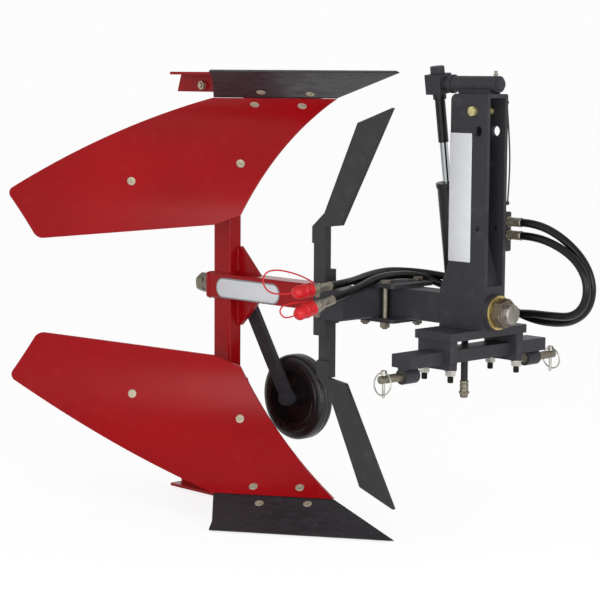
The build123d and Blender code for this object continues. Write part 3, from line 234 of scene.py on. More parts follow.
def plated(name, colour, dull, stain, metal=1.0):
    """Plated or bare steel: cloudy plating with stains and a fine grain."""
    made, put, place = finish(name, Metallic=metal)
    cloudy = place.cloud(90, 5).between(0.3, 0.75)
    stains = place.cloud(160, 6).between(0.56, 0.72)
    coat = cloudy.tint(shaded(colour, 0.78), colour)
    put("Base Color", (stains * 0.55).tint(coat, stain))
    put("Roughness", dull + 0.16 * cloudy + 0.15 * stains)
    put("Normal", place.cloud(1500, 3).bump(0.05, 0.0004))
    return made


def polished(name, colour):
    """Hard chrome with the faintest lengthways marks."""
    made, put, place = finish(name, Metallic=1.0)
    marks = place.cloud(300, 3, (1, 1, 0.05))
    put("Base Color", marks.tint(shaded(colour, 0.92), colour))
    put("Roughness", 0.07 + 0.08 * marks)
    return made


def rubber(name, colour, dull, grain, specular=0.45):
    """Black rubber: a fine grain, a grey bloom and rubbed places."""
    made, put, place = finish(name, Specular_IOR_Level=specular)
    bloom = place.cloud(24, 5).between(0.45, 0.75)
    put("Base Color", (bloom * 0.5).tint(colour, shaded(colour, 2.2)))
    put("Roughness", dull + 0.18 * bloom)
    put("Normal", place.cloud(grain, 3).bump(0.12, 0.0005))
    return made


def moulded(name, colour, dull, specular=0.4, drift_share=0.09):
    """Moulded plastic: an even tone with a soft skin."""
    made, put, place = finish(name, Specular_IOR_Level=specular)
    drift = place.cloud(40, 3).between(0.3, 0.7)
    put("Base Color", drift.tint(shaded(colour, 1 - drift_share), shaded(colour, 1 + drift_share)))
    put("Roughness", dull + 0.12 * place.cloud(120, 3))
    put("Normal", place.cloud(900, 2).bump(0.05, 0.0004))
    return made


red_enamel = enamel("red enamel", rgb(162, 11, 19), dull=0.19, specular=0.16, dust=0.10, dust_tone=rgb(190, 80, 80))
grey_enamel = enamel("grey enamel", rgb(58, 57, 62), dull=0.38, specular=0.16, dust=0.14)
black_enamel = enamel("black enamel", rgb(28, 27, 30), dull=0.30, specular=0.30, dust=0.12)
knife_coat = enamel("knife coat", rgb(60, 59, 61), dull=0.40, specular=0.16, dust=0.14)
share_coat = blade_steel("share coat", rgb(48, 46, 51))
bright_zinc = plated("bright zinc", rgb(196, 194, 186), dull=0.30, stain=rgb(120, 112, 98))
dull_zinc = plated("dull zinc", rgb(138, 131, 118), dull=0.40, stain=rgb(76, 68, 56))
brown_zinc = plated("brown zinc", rgb(124, 114, 100), dull=0.40, stain=rgb(78, 66, 54))
yellow_zinc = plated("yellow zinc", rgb(222, 214, 150), dull=0.30, stain=rgb(166, 150, 92), metal=0.6)
gold_zinc = plated("gold zinc", rgb(208, 186, 122), dull=0.26, stain=rgb(132, 108, 62), metal=0.8)
pale_zinc = plated("pale zinc", rgb(164, 157, 140), dull=0.32, stain=rgb(98, 91, 78), metal=0.75)
bolt_zinc = plated("bolt zinc", rgb(198, 188, 166), dull=0.36, stain=rgb(142, 124, 98), metal=0.55)
dark_steel = plated("dark steel", rgb(74, 71, 68), dull=0.45, stain=rgb(44, 40, 38))
bare_steel = plated("bare steel", rgb(176, 170, 162), dull=0.40, stain=rgb(120, 110, 98))
brass = plated("brass", rgb(196, 160, 88), dull=0.30, stain=rgb(110, 84, 44))
rod_chrome = polished("rod chrome", rgb(176, 182, 184))
hose_cover = rubber("hose cover", rgb(13, 12, 12), dull=0.25, grain=900, specular=0.3)
tyre_rubber = rubber("tyre rubber", rgb(25, 21, 22), dull=0.26, grain=500)
cord_black = rubber("cord black", rgb(30, 30, 31), dull=0.5, grain=1800)
wheel_black = moulded("wheel black", rgb(22, 17, 18), dull=0.24)
cap_red = moulded("cap red", rgb(214, 30, 38), dull=0.32)
label_white = moulded("label white", rgb(228, 231, 235), dull=0.34, specular=0.25, drift_share=0.015)
label_edge = moulded("label edge", rgb(140, 146, 148), dull=0.35, specular=0.3, drift_share=0.02)

FINISH_OF_SLOT = {
    "red_paint": red_enamel, "grey_paint": grey_enamel, "share_steel": share_coat, "zinc": bright_zinc,
    "yellow_zinc": yellow_zinc, "machined_steel": bare_steel, "chrome_rod": rod_chrome, "brass_fitting": brass,
    "hose_rubber": hose_cover, "wheel_rubber": tyre_rubber, "wheel_plastic": wheel_black, "cap_plastic": cap_red,
    "cord": cord_black,
}
FINISH_OF_NODE = {
    "upper_knife": knife_coat, "lower_knife": knife_coat, "cylinder_barrel": black_enamel,
    "cylinder_gland": black_enamel, "rod_sleeve": black_enamel, "pivot_sleeve": grey_enamel,
    "swivel_shaft": grey_enamel, "grease_nipple": dull_zinc, "hitch_pins": dull_zinc, "crank_pin": dull_zinc,
    "thrust_washer": gold_zinc,
}


# The frame's own solids: finishes and rounded edges

def node_tree(name, steps):
    """A geometry node group that passes a mesh through steps, each a function from one socket to the next."""
    group = bpy.data.node_groups.new(name, "GeometryNodeTree")
    group.interface.new_socket("Geometry", in_out="INPUT", socket_type="NodeSocketGeometry")
    group.interface.new_socket("Geometry", in_out="OUTPUT", socket_type="NodeSocketGeometry")
    flow = Value(group, group.nodes.new("NodeGroupInput").outputs[0])
    for step in steps:
        flow = step(flow)
    group.links.new(flow.socket, group.nodes.new("NodeGroupOutput").inputs[0])
    return group


def sharp_edges(flow):
    """True on the edges that stay sharp."""
    angle = flow.node("GeometryNodeInputMeshEdgeAngle")
    return flow.node("FunctionNodeCompare", {"operation": "GREATER_THAN"}, {0: angle, 1: SHARP})


SAME_POINT = 1e-6  # metres
FLAT_TURN, BEVEL_TURN, BEVEL_STEPS = radians(0.6), radians(40), 2

join_corners = node_tree("join corners", [
    lambda flow: flow.node("GeometryNodeRemoveAttribute", {}, {"Geometry": flow, "Name": "custom_normal"}),
    lambda flow: flow.node("GeometryNodeMergeByDistance", {}, {"Geometry": flow, "Distance": SAME_POINT}),
])
smooth_faces = node_tree("smooth faces", [
    lambda flow: flow.node("GeometryNodeSetShadeSmooth", {"domain": "FACE"}, {"Geometry": flow, "Shade Smooth": True}),
    lambda flow: flow.node("GeometryNodeSetShadeSmooth", {"domain": "EDGE"},
                           {"Geometry": flow, "Selection": sharp_edges(flow), "Shade Smooth": False}),
])


def round_edges(piece, width):
    """Modifiers that soften a solid's edges by a width in metres and smooth what is round."""
    piece.modifiers.new("join", "NODES").node_group = join_corners
    flat = piece.modifiers.new("flat", "DECIMATE")
    flat.decimate_type, flat.angle_limit = "DISSOLVE", FLAT_TURN
    soft = piece.modifiers.new("soft", "BEVEL")
    soft.width, soft.segments, soft.limit_method, soft.angle_limit = width, BEVEL_STEPS, "ANGLE", BEVEL_TURN
    piece.modifiers.new("smooth", "NODES").node_group = smooth_faces
    piece.modifiers.new("even", "WEIGHTED_NORMAL").keep_sharp = True


EDGE = 0.9
EDGE_OF_NODE = {"upper_share": 0.4, "lower_share": 0.4, "body_bolts": 0.5, "grease_nipple": 0.2, "hose_unions": 0.4}
NO_ROUNDING = {"linch_ring_near", "linch_ring_far", "wheel_tyre", "lanyard", "drain_hose"}


def dress_solids():
    """Give every solid of the frame its finish and soft edges."""
    slot_of = {part["node"]: part["material_slot"] for part in frame["record"]["subparts"]}
    for name, solid in nodes.items():
        solid.data.materials.clear()
        solid.data.materials.append(FINISH_OF_NODE.get(name) or FINISH_OF_SLOT[slot_of[name]])
        if name not in NO_ROUNDING:
            round_edges(solid, EDGE_OF_NODE.get(name, EDGE) * MM)


# Pieces made here

def hexagon_reach(half, angle):
    """Distance from a hexagon's middle to its side at an angle, from half its width across flats."""
    return half / cos((angle + pi / 6) % (pi / 3) - pi / 6)


class Blank:
    """Collects turned, hexagonal and swept shapes in one mesh. Places are in metres, sizes in millimetres."""

    def __init__(self):
        self.mesh = bmesh.new()

    def skin(self, rings, closed_ends=True):
        """Faces between rings of points, with a face across each end."""
        made = [[self.mesh.verts.new(point) for point in ring] for ring in rings]
        for near, far in zip(made, made[1:]):
            for i in range(len(near)):
                j = (i + 1) % len(near)
                self.mesh.faces.new((near[i], near[j], far[j], far[i]))
        if closed_ends:
            self.mesh.faces.new(list(reversed(made[0])))
            self.mesh.faces.new(made[-1])

    def turn(self, at, way, rings, sides=48, closed_ends=True):
        """Rings about an axis. A ring is (distance, radius), or a function of the angle that gives both."""
        way = way.normalized()
        side = way.orthogonal().normalized()
        up = way.cross(side)
        points = []
        for ring in rings:
            loop = []
            for i in range(sides):
                angle = 2 * pi * i / sides
                along, radius = ring(angle) if callable(ring) else ring
                loop.append(at + (way * along + (side * cos(angle) + up * sin(angle)) * radius) * MM)
            points.append(loop)
        self.skin(points, closed_ends)

    def washer(self, at, way, bore, rim, thickness, sides=48):
        """A flat ring between the radii of its bore and rim."""
        self.turn(at, way, [(0, bore), (0, rim), (thickness, rim), (thickness, bore)], sides, closed_ends=False)

    def hexagon(self, at, way, flats, height, bore=0.0, spin=0.0):
        """A hexagon head or nut with its corners turned off at both ends."""
        half, inner = flats / 2, max(bore / 2, 0.01)
        face, turned_from, slope, chamfer = 0.95 * half, 0.97 * half, 0.55, 0.6

        def corner(angle, end):
            reach = hexagon_reach(half, angle + spin)
            fall = slope * max(0.0, reach - turned_from)
            return (height - fall if end else fall), reach

        self.turn(at, way, [(0, inner), (0, face), lambda angle: corner(angle, 0), lambda angle: corner(angle, 1),
                            (height, face), (height, inner + chamfer), (height - chamfer, inner), (0, inner)],
                  closed_ends=False)

    def rod(self, at, way, diameter, length, chamfer=0.8):
        """A plain round bar."""
        radius = diameter / 2
        self.turn(at, way, [(0, radius), (length - chamfer, radius), (length, radius - chamfer)], sides=32)

    def thread(self, at, way, diameter, length, pitch):
        """A screw thread that runs out in a chamfer."""
        rings_per_pitch, run_out = 6, 0.15
        radius, depth = diameter / 2, 0.55 * pitch
        rows = int(length / pitch * rings_per_pitch)

        def ring(along):
            def wall(angle):
                lift = abs(2 * ((along / pitch - angle / (2 * pi)) % 1) - 1)
                taper = min(1.0, (length - along) / pitch + run_out)
                return along, radius - depth * (1 - lift) - (1 - taper) * depth
            return wall
        self.turn(at, way, [ring(length * i / rows) for i in range(rows + 1)], sides=36)

    def sweep(self, path, radius, sides):
        """A tube along a path; the radius is a number or a function of the ring's number."""
        ahead = [(path[min(i + 1, len(path) - 1)] - path[max(i - 1, 0)]).normalized() for i in range(len(path))]
        side = ahead[0].orthogonal().normalized()
        rings = []
        for i, (point, way) in enumerate(zip(path, ahead)):
            side = (side - way * side.dot(way)).normalized()
            up = way.cross(side)
            size = (radius(i) if callable(radius) else radius) * MM
            rings.append([point + (side * cos(2 * pi * k / sides) + up * sin(2 * pi * k / sides)) * size
                          for k in range(sides)])
        self.skin(rings)

    def piece(self, name, material, body, *replaced, slot=None):
        """Finish the mesh as a piece that rides on a body and may stand for solids."""
        bmesh.ops.recalc_face_normals(self.mesh, faces=self.mesh.faces)
        for face in self.mesh.faces:
            face.smooth = True
        for edge in self.mesh.edges:
            if len(edge.link_faces) == 2:
                edge.smooth = edge.calc_face_angle(0) < SHARP
        data = bpy.data.meshes.new(name)
        self.mesh.to_mesh(data)
        self.mesh.free()
        data.materials.append(material)
        made = show(name, data)
        if body:
            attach(made, body)
        if replaced:
            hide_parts(*replaced)
        return made


# Hoses and cords

def route_spline(points, name):
    """An open spline with the route's points as its control points."""
    data = bpy.data.curves.new(name, "CURVE")
    data.dimensions, data.resolution_u = "3D", 16
    line = data.splines.new("NURBS")
    line.points.add(len(points) - 1)
    for knot, point in zip(line.points, points):
        knot.co = (*spot(*point), 1)
    line.order_u, line.use_endpoint_u = 3, True
    return data


def along_route(points):
    """The spline's own points in order, read from it."""
    holder = show("route", route_spline(points, "route"))
    bpy.context.view_layer.update()
    mesh = bpy.data.meshes.new_from_object(holder.evaluated_get(bpy.context.evaluated_depsgraph_get()))
    path = [vertex.co.copy() for vertex in mesh.vertices]
    bpy.data.meshes.remove(mesh)
    bpy.data.objects.remove(holder)
    return path


HOSE_D = 15.5
BLEND_FROM, BLEND_TO = (-64, 95, 40), (-190, 95, 40)
# Each hose's length in metres and its route.
HOSES = {
    "a": (0.972, [(84, 45, 170), (120, 45, 170), (172, 54, 148), (214, 67, 108), (234, 72, 62), (223, 76, 16),
                  (186, 79, -12), (134, 83, -21), (72, 87, -18), (10, 91, 0), (-42, 95, 24), (-88, 98, 44),
                  (-152, 99, 44), (-200, 92, 48), (-232, 62, 52), (-241, 14, 55), (-234, -44, 51), (-220, -98, 45),
                  (-210, -142, 43), (-208, -176, 41)]),
    "b": (0.951, [(84, 45, 145), (120, 45, 145), (174, 45, 130), (215, 46, 106), (239, 47, 70), (235, 49, 28),
                  (203, 52, 0), (146, 57, -3), (84, 64, -4), (24, 71, -12), (-34, 84, -6), (-86, 99, 20),
                  (-136, 100, 21), (-170, 95, 30), (-200, 70, 45), (-210, 22, 50), (-205, -44, 49), (-195, -98, 38),
                  (-185, -146, 28), (-184, -192, 18)]),
}


def make_hose(letter, points):
    """A hydraulic hose from the valve block to its coupler, across the turnover joint."""
    path = along_route(points)
    tube = Blank()
    tube.sweep(path, HOSE_D / 2, sides=24)
    hose = tube.piece(f"hose_{letter}", hose_cover, None, f"hose_{letter}_front", f"hose_{letter}_rear",
                      slot="hose_rubber")
    tuple(spot(*BLEND_FROM))
    tuple(spot(*BLEND_TO))
    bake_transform(hose)


def hose_ends():
    """Last point of each hose and the way it leads on."""
    for _, points in HOSES.values():
        last, before = spot(*points[-1]), spot(*points[-2])
        yield last, (last - before).normalized()


VALVE_FRONT = 44.0
UNION_FLATS, UNION_L = 19.0, 10.0
FERRULE_D, UNION_FERRULE_L, COUPLER_FERRULE_L = 18.0, 30.0, 34.0
COUPLER_FLATS, COUPLER_NUT_L, COUPLER_BODY_L, COUPLER_NOSE_D, COUPLER_NOSE_L = 20.0, 7.0, 22.0, 17.8, 22.0
COUPLER_COLLAR = [(0, 9.5), (0.8, 11), (1.6, 11.9), (5, 11.9), (5.6, 11.2), (7.4, 11.2), (8, 11.9), (13.6, 11.9),
                  (14.8, 11.2), (15.5, 9.5)]
DUST_CAP_R, DUST_CAP_L = 14.0, 48.0


def crimp(blank, at, way, length):
    """A crimped ferrule: eight pressed flats between two collars."""
    radius = FERRULE_D / 2

    def pressed(along):
        return lambda angle: (along, radius * (0.955 - 0.03 * cos(8 * angle)))
    blank.turn(at, way, [(0, radius * 0.82), (1, radius * 0.97), (3, radius), (4, radius), pressed(5.5),
                         pressed(length - 6), (length - 4.5, radius), (length - 1.5, radius),
                         (length, radius * 0.9)], sides=64)


def make_unions():
    """The two hose ends at the valve block: a hexagon nut and a crimped ferrule each."""
    ends = Blank()
    for _, points in HOSES.values():
        _, y, z = points[0]
        start = spot(VALVE_FRONT, y, z)
        ends.hexagon(start, FORWARD, UNION_FLATS, UNION_L)
        crimp(ends, start + FORWARD * UNION_L * MM, FORWARD, UNION_FERRULE_L)
    ends.piece("hose_union_set", pale_zinc, "headstock", "hose_unions", slot="zinc")


def make_couplers():
    """The quick couplers at the hoses' far ends: crimped ferrule, nut, grooved collar and nose."""
    ends = Blank()
    for at, way in hose_ends():
        nut_at = at + way * COUPLER_FERRULE_L * MM
        crimp(ends, at, way, COUPLER_FERRULE_L)
        ends.hexagon(nut_at, way, COUPLER_FLATS, COUPLER_NUT_L)
        ends.turn(nut_at + way * (COUPLER_NUT_L - LAP) * MM, way, COUPLER_COLLAR)
        ends.rod(nut_at + way * (COUPLER_BODY_L - LAP) * MM, way, COUPLER_NOSE_D, COUPLER_NOSE_L)
    return ends.piece("coupler_set", pale_zinc, "turning_frame", "hose_couplers", slot="zinc")


def make_caps():
    """Dust caps: a ribbed skirt, a waist and a domed end with ribs."""
    caps = Blank()
    radius = DUST_CAP_R

    def ribbed(along, share=1.0):
        return lambda angle: (along, radius * share * (0.95 + 0.05 * abs(cos(10 * angle))))
    for at, way in hose_ends():
        start = at + way * (COUPLER_FERRULE_L + COUPLER_BODY_L) * MM
        caps.turn(start, way, [(0.4, radius * 0.72), (0.4, radius * 0.97), (1.5, radius), (4, radius), ribbed(5),
                               ribbed(18), (19, radius), (22, radius), (23.5, radius * 0.86), (29, radius * 0.8),
                               ribbed(30, 0.92), ribbed(39, 0.92), (41, radius * 0.86), (45, radius * 0.66),
                               (DUST_CAP_L - 0.6, radius * 0.3)], sides=80)
    return caps.piece("dust_cap_pair", cap_red, "turning_frame", "dust_caps", slot="cap_plastic")


def spline_cord(name, points, diameter, material, body, slot, *replaced, roundness=4, **nature):
    """A cord that is a round curve; its nature, which would be its length in metres, far end, stiffness and lay, is
    not used.
    """
    data = route_spline(points, name)
    data.bevel_depth, data.bevel_resolution, data.use_fill_caps = diameter / 2 * MM, roundness, True
    data.materials.append(material)
    made = show(name, data)
    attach(made, body)
    if replaced:
        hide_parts(*replaced)
    tuple(spot(*points[0]))


TETHER_D = 3.0
# Each dust cap's tether: its length in metres and its route.
TETHERS = {
    "a": (0.220, [(-206, -222, 50), (-209, -246, 63), (-214, -278, 74), (-218, -312, 81), (-220, -338, 77),
                  (-218, -346, 57), (-213, -334, 39), (-207, -308, 34), (-202, -279, 35)]),
    "b": (0.130, [(-192, -236, 16), (-197, -262, 17), (-198, -290, 17), (-198, -314, 14), (-195, -324, 3),
                  (-190, -316, -8), (-185, -304, -7), (-182, -293, -4)]),
}


def make_tethers():
    """The moulded straps that keep the dust caps on their couplers."""
    for letter, (length, points) in TETHERS.items():
        spline_cord(f"cap_tether_{letter}", points, TETHER_D, cap_red, "turning_frame", "cap_plastic", length=length,
                    far_end="object", stiffness="medium", lay="loose")


LANYARD_D, LANYARD_L = 3.0, 0.190  # the length in metres
LANYARD = [(50, 33.5, 396), (56, 35.5, 330), (58, 36.5, 266), (55, 34.5, 206)]
KNOB_R = 4
KNOB = [(0.1, 0.3), (0.6, 2.2), (2, 3.6), (4, KNOB_R), (6, 3.6), (7.4, 2.2), (7.9, 0.3)]


def make_lanyard():
    """The thin control cord on the tower's left plate, with a knob at each end."""
    knobs = Blank()
    for x, y, z in (LANYARD[0], LANYARD[-1]):
        knobs.turn(spot(x, y, z - KNOB_R), UP, KNOB, sides=24)
    ends = knobs.piece("lanyard_knobs", cord_black, "headstock", slot="cord")
    spline_cord("lanyard_cord", LANYARD, LANYARD_D, cord_black, "headstock", "cord", "lanyard", length=LANYARD_L,
                far_end="knot", stiffness="limp", lay="hanging", with_pieces=[ends])


DRAIN_D, DRAIN_L = 14.0, 0.095  # the length in metres
DRAIN = [(-38, 25, -49), (-38.6, 25.4, -80), (-38.4, 25.2, -112), (-38, 25, -144)]
DRAIN_SLEEVE = [(0, 7.4), (1, 8.5), (6, 8.5), (7, 7.7), (9, 8.5), (14, 8.5), (15, 7.7), (17, 8.5), (22, 8.5)]
DRAIN_NUT_FLATS, DRAIN_NUT_L = 20.0, 4.5
DRAIN_TIP = [(0, 8), (6, 8), (8.4, 6.4), (9, 3)]


def make_drain():
    """The short drain hose under the base plate and its fitting."""
    fitting = Blank()
    start = spot(*DRAIN[-1])
    nut_at = start + DOWN * DRAIN_SLEEVE[-1][0] * MM
    fitting.turn(start, DOWN, DRAIN_SLEEVE, sides=40)
    fitting.hexagon(nut_at, DOWN, DRAIN_NUT_FLATS, DRAIN_NUT_L)
    fitting.turn(nut_at + DOWN * (DRAIN_NUT_L - LAP) * MM, DOWN, DRAIN_TIP, sides=40)
    end = fitting.piece("drain_end", dull_zinc, "headstock", "drain_fitting", slot="zinc")
    spline_cord("drain_stub", DRAIN, DRAIN_D, hose_cover, "headstock", "hose_rubber", "drain_hose", roundness=6,
                length=DRAIN_L, far_end="fitting", stiffness="medium", lay="hanging", with_pieces=[end])


# Fasteners

M12, M12_CUT, M12_PITCH, M12_FLATS = 12.0, 12.2, 1.75, 19.0
SHANK_END = 0.1  # chamfer at a shank's end that its nut hides
CLAMP_X, CLAMP_Y, CLAMP_TOP, CLAMP_SEAT = (-33, 33), (-96, 96), -37, -104
CLAMP_WASHER, CLAMP_NUT_L, CLAMP_THREAD_L = 1.6, 9.4, 24.0
CORNER_BOLTS, CORNER_FACE = ((-184.6, -47), (-184.6, 47), (-264.6, -20), (-264.6, 47)), 38
KNIFE_BOLT_X, KNIFE_BOLT_Z, KNIFE_FACE, KNIFE_BACK = -273.1, (-20, 20), -142, -104
MAST_BOLT_X, MAST_BOLT_Z, MAST_FACE = 22, 379.5, 29.5
DRAW_Y, DRAW_FRONT, DRAW_SHANK, DRAW_SEAT = -69.5, -250.6, 413.0, -663.0
DRAW_D, DRAW_CUT, DRAW_PITCH, DRAW_FLATS, DRAW_THREAD_L = 22.0, 22.3, 2.5, 38.0, 54.0
DRAW_WASHER, DRAW_NUT_L, LOCK_NUT_X, LOCK_NUT_L, LOCK_NUT_SPIN = 2.5, 19.3, -685.0, 22.0, radians(20)
PIVOT_SEAT, PIVOT_FLATS, PIVOT_NUT_L, PIVOT_BORE = 70.4, 50.0, 20.0, 40.2
CYLINDER_LEAN, CRANK_PIN, ROD_REACH, BLOCK_HALF = radians(8.596), (-94, 65, 0), 434.885, 19.0
BLOCK_BOLT_FLATS, BLOCK_BOLT_L, BLOCK_BOLT_D, BLOCK_BOLT_SHANK = 27.0, 15.0, 16.0, 38.0


def through_bolt(blank, head, nut, shank, nut_height, thread, head_flats=M12_FLATS, head_height=7.0):
    """An M12 bolt from the face under its head to the face under its nut, with its thread's end past the nut."""
    way = (nut - head).normalized()
    blank.hexagon(head, -way, head_flats, head_height)
    blank.rod(head - way * LAP * MM, way, M12, shank, SHANK_END)
    blank.hexagon(nut, way, M12_FLATS, nut_height, M12)
    blank.thread(nut, way, M12_CUT, thread, M12_PITCH)


def make_clamp_studs():
    """The studs under the base plate, with washers and nuts below the straps."""
    studs, nuts = Blank(), Blank()
    for x in CLAMP_X:
        for y in CLAMP_Y:
            seat = spot(x, y, CLAMP_SEAT)
            studs.rod(spot(x, y, CLAMP_TOP), DOWN, M12, CLAMP_TOP - CLAMP_SEAT, SHANK_END)
            studs.thread(seat, DOWN, M12_CUT, CLAMP_THREAD_L, M12_PITCH)
            nuts.washer(seat, DOWN, bore=6.4, rim=11.6, thickness=CLAMP_WASHER, sides=40)
            nuts.hexagon(seat + DOWN * CLAMP_WASHER * MM, DOWN, M12_FLATS, CLAMP_NUT_L, M12)
    studs.piece("clamp_stud_set", dark_steel, "headstock", "clamp_studs", slot="zinc")
    nuts.piece("clamp_nut_set", bright_zinc, "headstock", slot="zinc")


def make_through_bolts():
    """The bolts of the corner plates, the knives and the tower."""
    corner, knife, mast = Blank(), Blank(), Blank()
    for x, y in CORNER_BOLTS:
        through_bolt(corner, spot(x, y, CORNER_FACE), spot(x, y, -CORNER_FACE), shank=80, nut_height=11, thread=14)
    corner.piece("corner_bolt_set", dull_zinc, "turning_frame", "corner_bolts", slot="zinc")
    for z in KNIFE_BOLT_Z:
        through_bolt(knife, spot(KNIFE_BOLT_X, KNIFE_FACE, z), spot(KNIFE_BOLT_X, KNIFE_BACK, z), shank=40,
                     nut_height=6, thread=8)
    knife.piece("knife_bolt_set", dull_zinc, "turning_frame", "knife_bolts", slot="zinc")
    through_bolt(mast, spot(MAST_BOLT_X, -MAST_FACE, MAST_BOLT_Z), spot(MAST_BOLT_X, MAST_FACE, MAST_BOLT_Z), shank=61,
                 nut_height=11, thread=13, head_flats=17, head_height=7.6)
    mast.piece("mast_bolt", yellow_zinc, "headstock", "tower_bolt", slot="yellow_zinc")


def make_large_fasteners():
    """The draw stud with its nuts, the pivot's nut and the swivel block's bolt."""
    draw, pivot, block = Blank(), Blank(), Blank()
    seat = spot(DRAW_SEAT, DRAW_Y, 0)
    draw.rod(spot(DRAW_FRONT, DRAW_Y, 0), BACK, DRAW_D, DRAW_SHANK, SHANK_END)
    draw.washer(seat, BACK, bore=11.5, rim=20.5, thickness=DRAW_WASHER)
    draw.hexagon(seat + BACK * DRAW_WASHER * MM, BACK, DRAW_FLATS, DRAW_NUT_L, DRAW_D)
    draw.hexagon(spot(LOCK_NUT_X, DRAW_Y, 0), BACK, DRAW_FLATS, LOCK_NUT_L, DRAW_D, LOCK_NUT_SPIN)
    draw.thread(seat, BACK, DRAW_CUT, DRAW_THREAD_L, DRAW_PITCH)
    draw.piece("draw_stud_set", dull_zinc, "turning_frame", "draw_stud", slot="zinc")

    pivot.hexagon(spot(PIVOT_SEAT, 0, 0), FORWARD, PIVOT_FLATS, PIVOT_NUT_L, PIVOT_BORE)
    pivot.piece("pivot_hexagon", brown_zinc, "turning_frame", "pivot_nut", slot="machined_steel")

    up = Vector((0, -sin(CYLINDER_LEAN), cos(CYLINDER_LEAN)))
    top = spot(*CRANK_PIN) + up * (ROD_REACH + BLOCK_HALF) * MM
    block.hexagon(top, up, BLOCK_BOLT_FLATS, BLOCK_BOLT_L)
    block.rod(top + up * LAP * MM, -up, BLOCK_BOLT_D, BLOCK_BOLT_SHANK, chamfer=0.5)
    block.piece("block_bolt_head", grey_enamel, "rod", "block_bolt", slot="grey_paint")


EDGE_TURN = radians(33.7)
ALONG_EDGE = Vector((-cos(EDGE_TURN), -sin(EDGE_TURN), 0))
OFF_EDGE = Vector((sin(EDGE_TURN), -cos(EDGE_TURN), 0))
ROLL_R, ROLL_OUT, ROLL_Z = 283.0, 98.784, 163.8
SHARE_PITCH, SHARE_OUT, SHARE_Z = radians(25.3), 46.0, 450.0
LANDSIDE_Y, LANDSIDE_Z = -75.0, 422.0
BOARD_GRIP, SHARE_GRIP = 5.0, 16.0
BOARD_BOLTS = ((737.0, 223.6), (500.0, 264.4), (449.0, 386.0), (353.0, 384.0))  # along the edge, height
SHARE_BOLTS = ((427.0, 92.0), (329.0, 98.0))  # along the edge, up the slope
LANDSIDE_BOLTS = ((-380.0, 18.0), (-500.0, 18.0), (-690.0, 6.0))  # x, grip
BODY_BOLT_R, BODY_HEAD_R, BODY_NUT_FLATS, BODY_NUT_L, SOCKET_HALF, SOCKET_FLOOR = 5.0, 8.9, 17.0, 9.0, 3.6, -1.8


def body_bolt_places():
    """Each bolt of the upper body: a point on the plate's face from the turnover axis, its facing and its grip."""
    for along, height in BOARD_BOLTS:
        rise = (height - ROLL_Z) / ROLL_R
        inward = OFF_EDGE * (1 - rise**2) ** 0.5 - UP * rise
        yield ALONG_EDGE * along + OFF_EDGE * ROLL_OUT + UP * ROLL_Z - inward * ROLL_R, inward, BOARD_GRIP
    slope = OFF_EDGE * -cos(SHARE_PITCH) - UP * sin(SHARE_PITCH)
    for along, rise in SHARE_BOLTS:
        point = OFF_EDGE * SHARE_OUT + UP * SHARE_Z + ALONG_EDGE * along + slope * rise
        yield point, ALONG_EDGE.cross(slope), SHARE_GRIP
    for x, grip in LANDSIDE_BOLTS:
        yield Vector((x, LANDSIDE_Y, LANDSIDE_Z)), LEFT, grip


def socket_bolt(blank, at, facing, grip):
    """A flat-headed bolt with a hexagon socket, and its nut."""
    def socket(along):
        return lambda angle: (along, hexagon_reach(SOCKET_HALF, angle))
    blank.turn(at, facing, [(SOCKET_FLOOR, 0.05), socket(SOCKET_FLOOR), socket(0.7), (1, 4.9), (1, 8.2),
                            (0.5, BODY_HEAD_R), (-3, BODY_HEAD_R), (-3, BODY_BOLT_R), (-grip - 12.2, BODY_BOLT_R),
                            (-grip - 13, BODY_BOLT_R - 0.8)])
    blank.hexagon(at - facing * grip * MM, -facing, BODY_NUT_FLATS, BODY_NUT_L, 2 * BODY_BOLT_R)


def make_body_bolts():
    """The bolts of both bodies, the lower ones mirrored across the turnover axis."""
    bolts = Blank()
    for point, facing, grip in body_bolt_places():
        for way in (1, -1):
            mirrored = Vector((1, 1, way))
            socket_bolt(bolts, spot(*(point * mirrored)), facing * mirrored, grip)
    bolts.piece("body_bolt_set", bolt_zinc, "turning_frame", "body_bolts", slot="zinc")


# Weld beads

def bead(blank, start, end, size):
    """A weld from one point to another, laid in overlapping ripples."""
    start, end, ripple = spot(*start), spot(*end), 0.9
    length = (end - start).length / MM
    steps = max(4, int(length / ripple))
    path = [start.lerp(end, i / steps) for i in range(steps + 1)]
    blank.sweep(path, lambda i: size * (0.25 if i in (0, steps) else 0.86 + 0.14 * abs(sin(ripple * i))), sides=10)


def box_beads(blank, low, high, height, size):
    """Beads round a rectangle at one height."""
    (x0, y0), (x1, y1) = low, high
    corners = [(x0, y0), (x1, y0), (x1, y1), (x0, y1), (x0, y0)]
    for before, after in zip(corners, corners[1:]):
        bead(blank, (*before, height), (*after, height), size)


def make_mast_welds():
    """Beads round the tower's foot, under the swivel tube and on the crossbar's bosses."""
    foot, tube, boss = -33, 413, -94
    welds = Blank()
    for y in (-29.5, 29.5):
        bead(welds, (-54, y, foot), (54, y, foot), size=3.2)
    bead(welds, (-56, -28, foot), (-56, 28, foot), size=3.2)
    for y in (-12.5, 12.5):
        bead(welds, (-30, y, tube), (49, y, tube), size=3.4)
    for side in (-1, 1):
        for x in (-9, 9):
            bead(welds, (x, side * 160, boss), (x, side * 195, boss), size=2.6)
    welds.piece("mast_welds", grey_enamel, "headstock", slot="grey_paint")


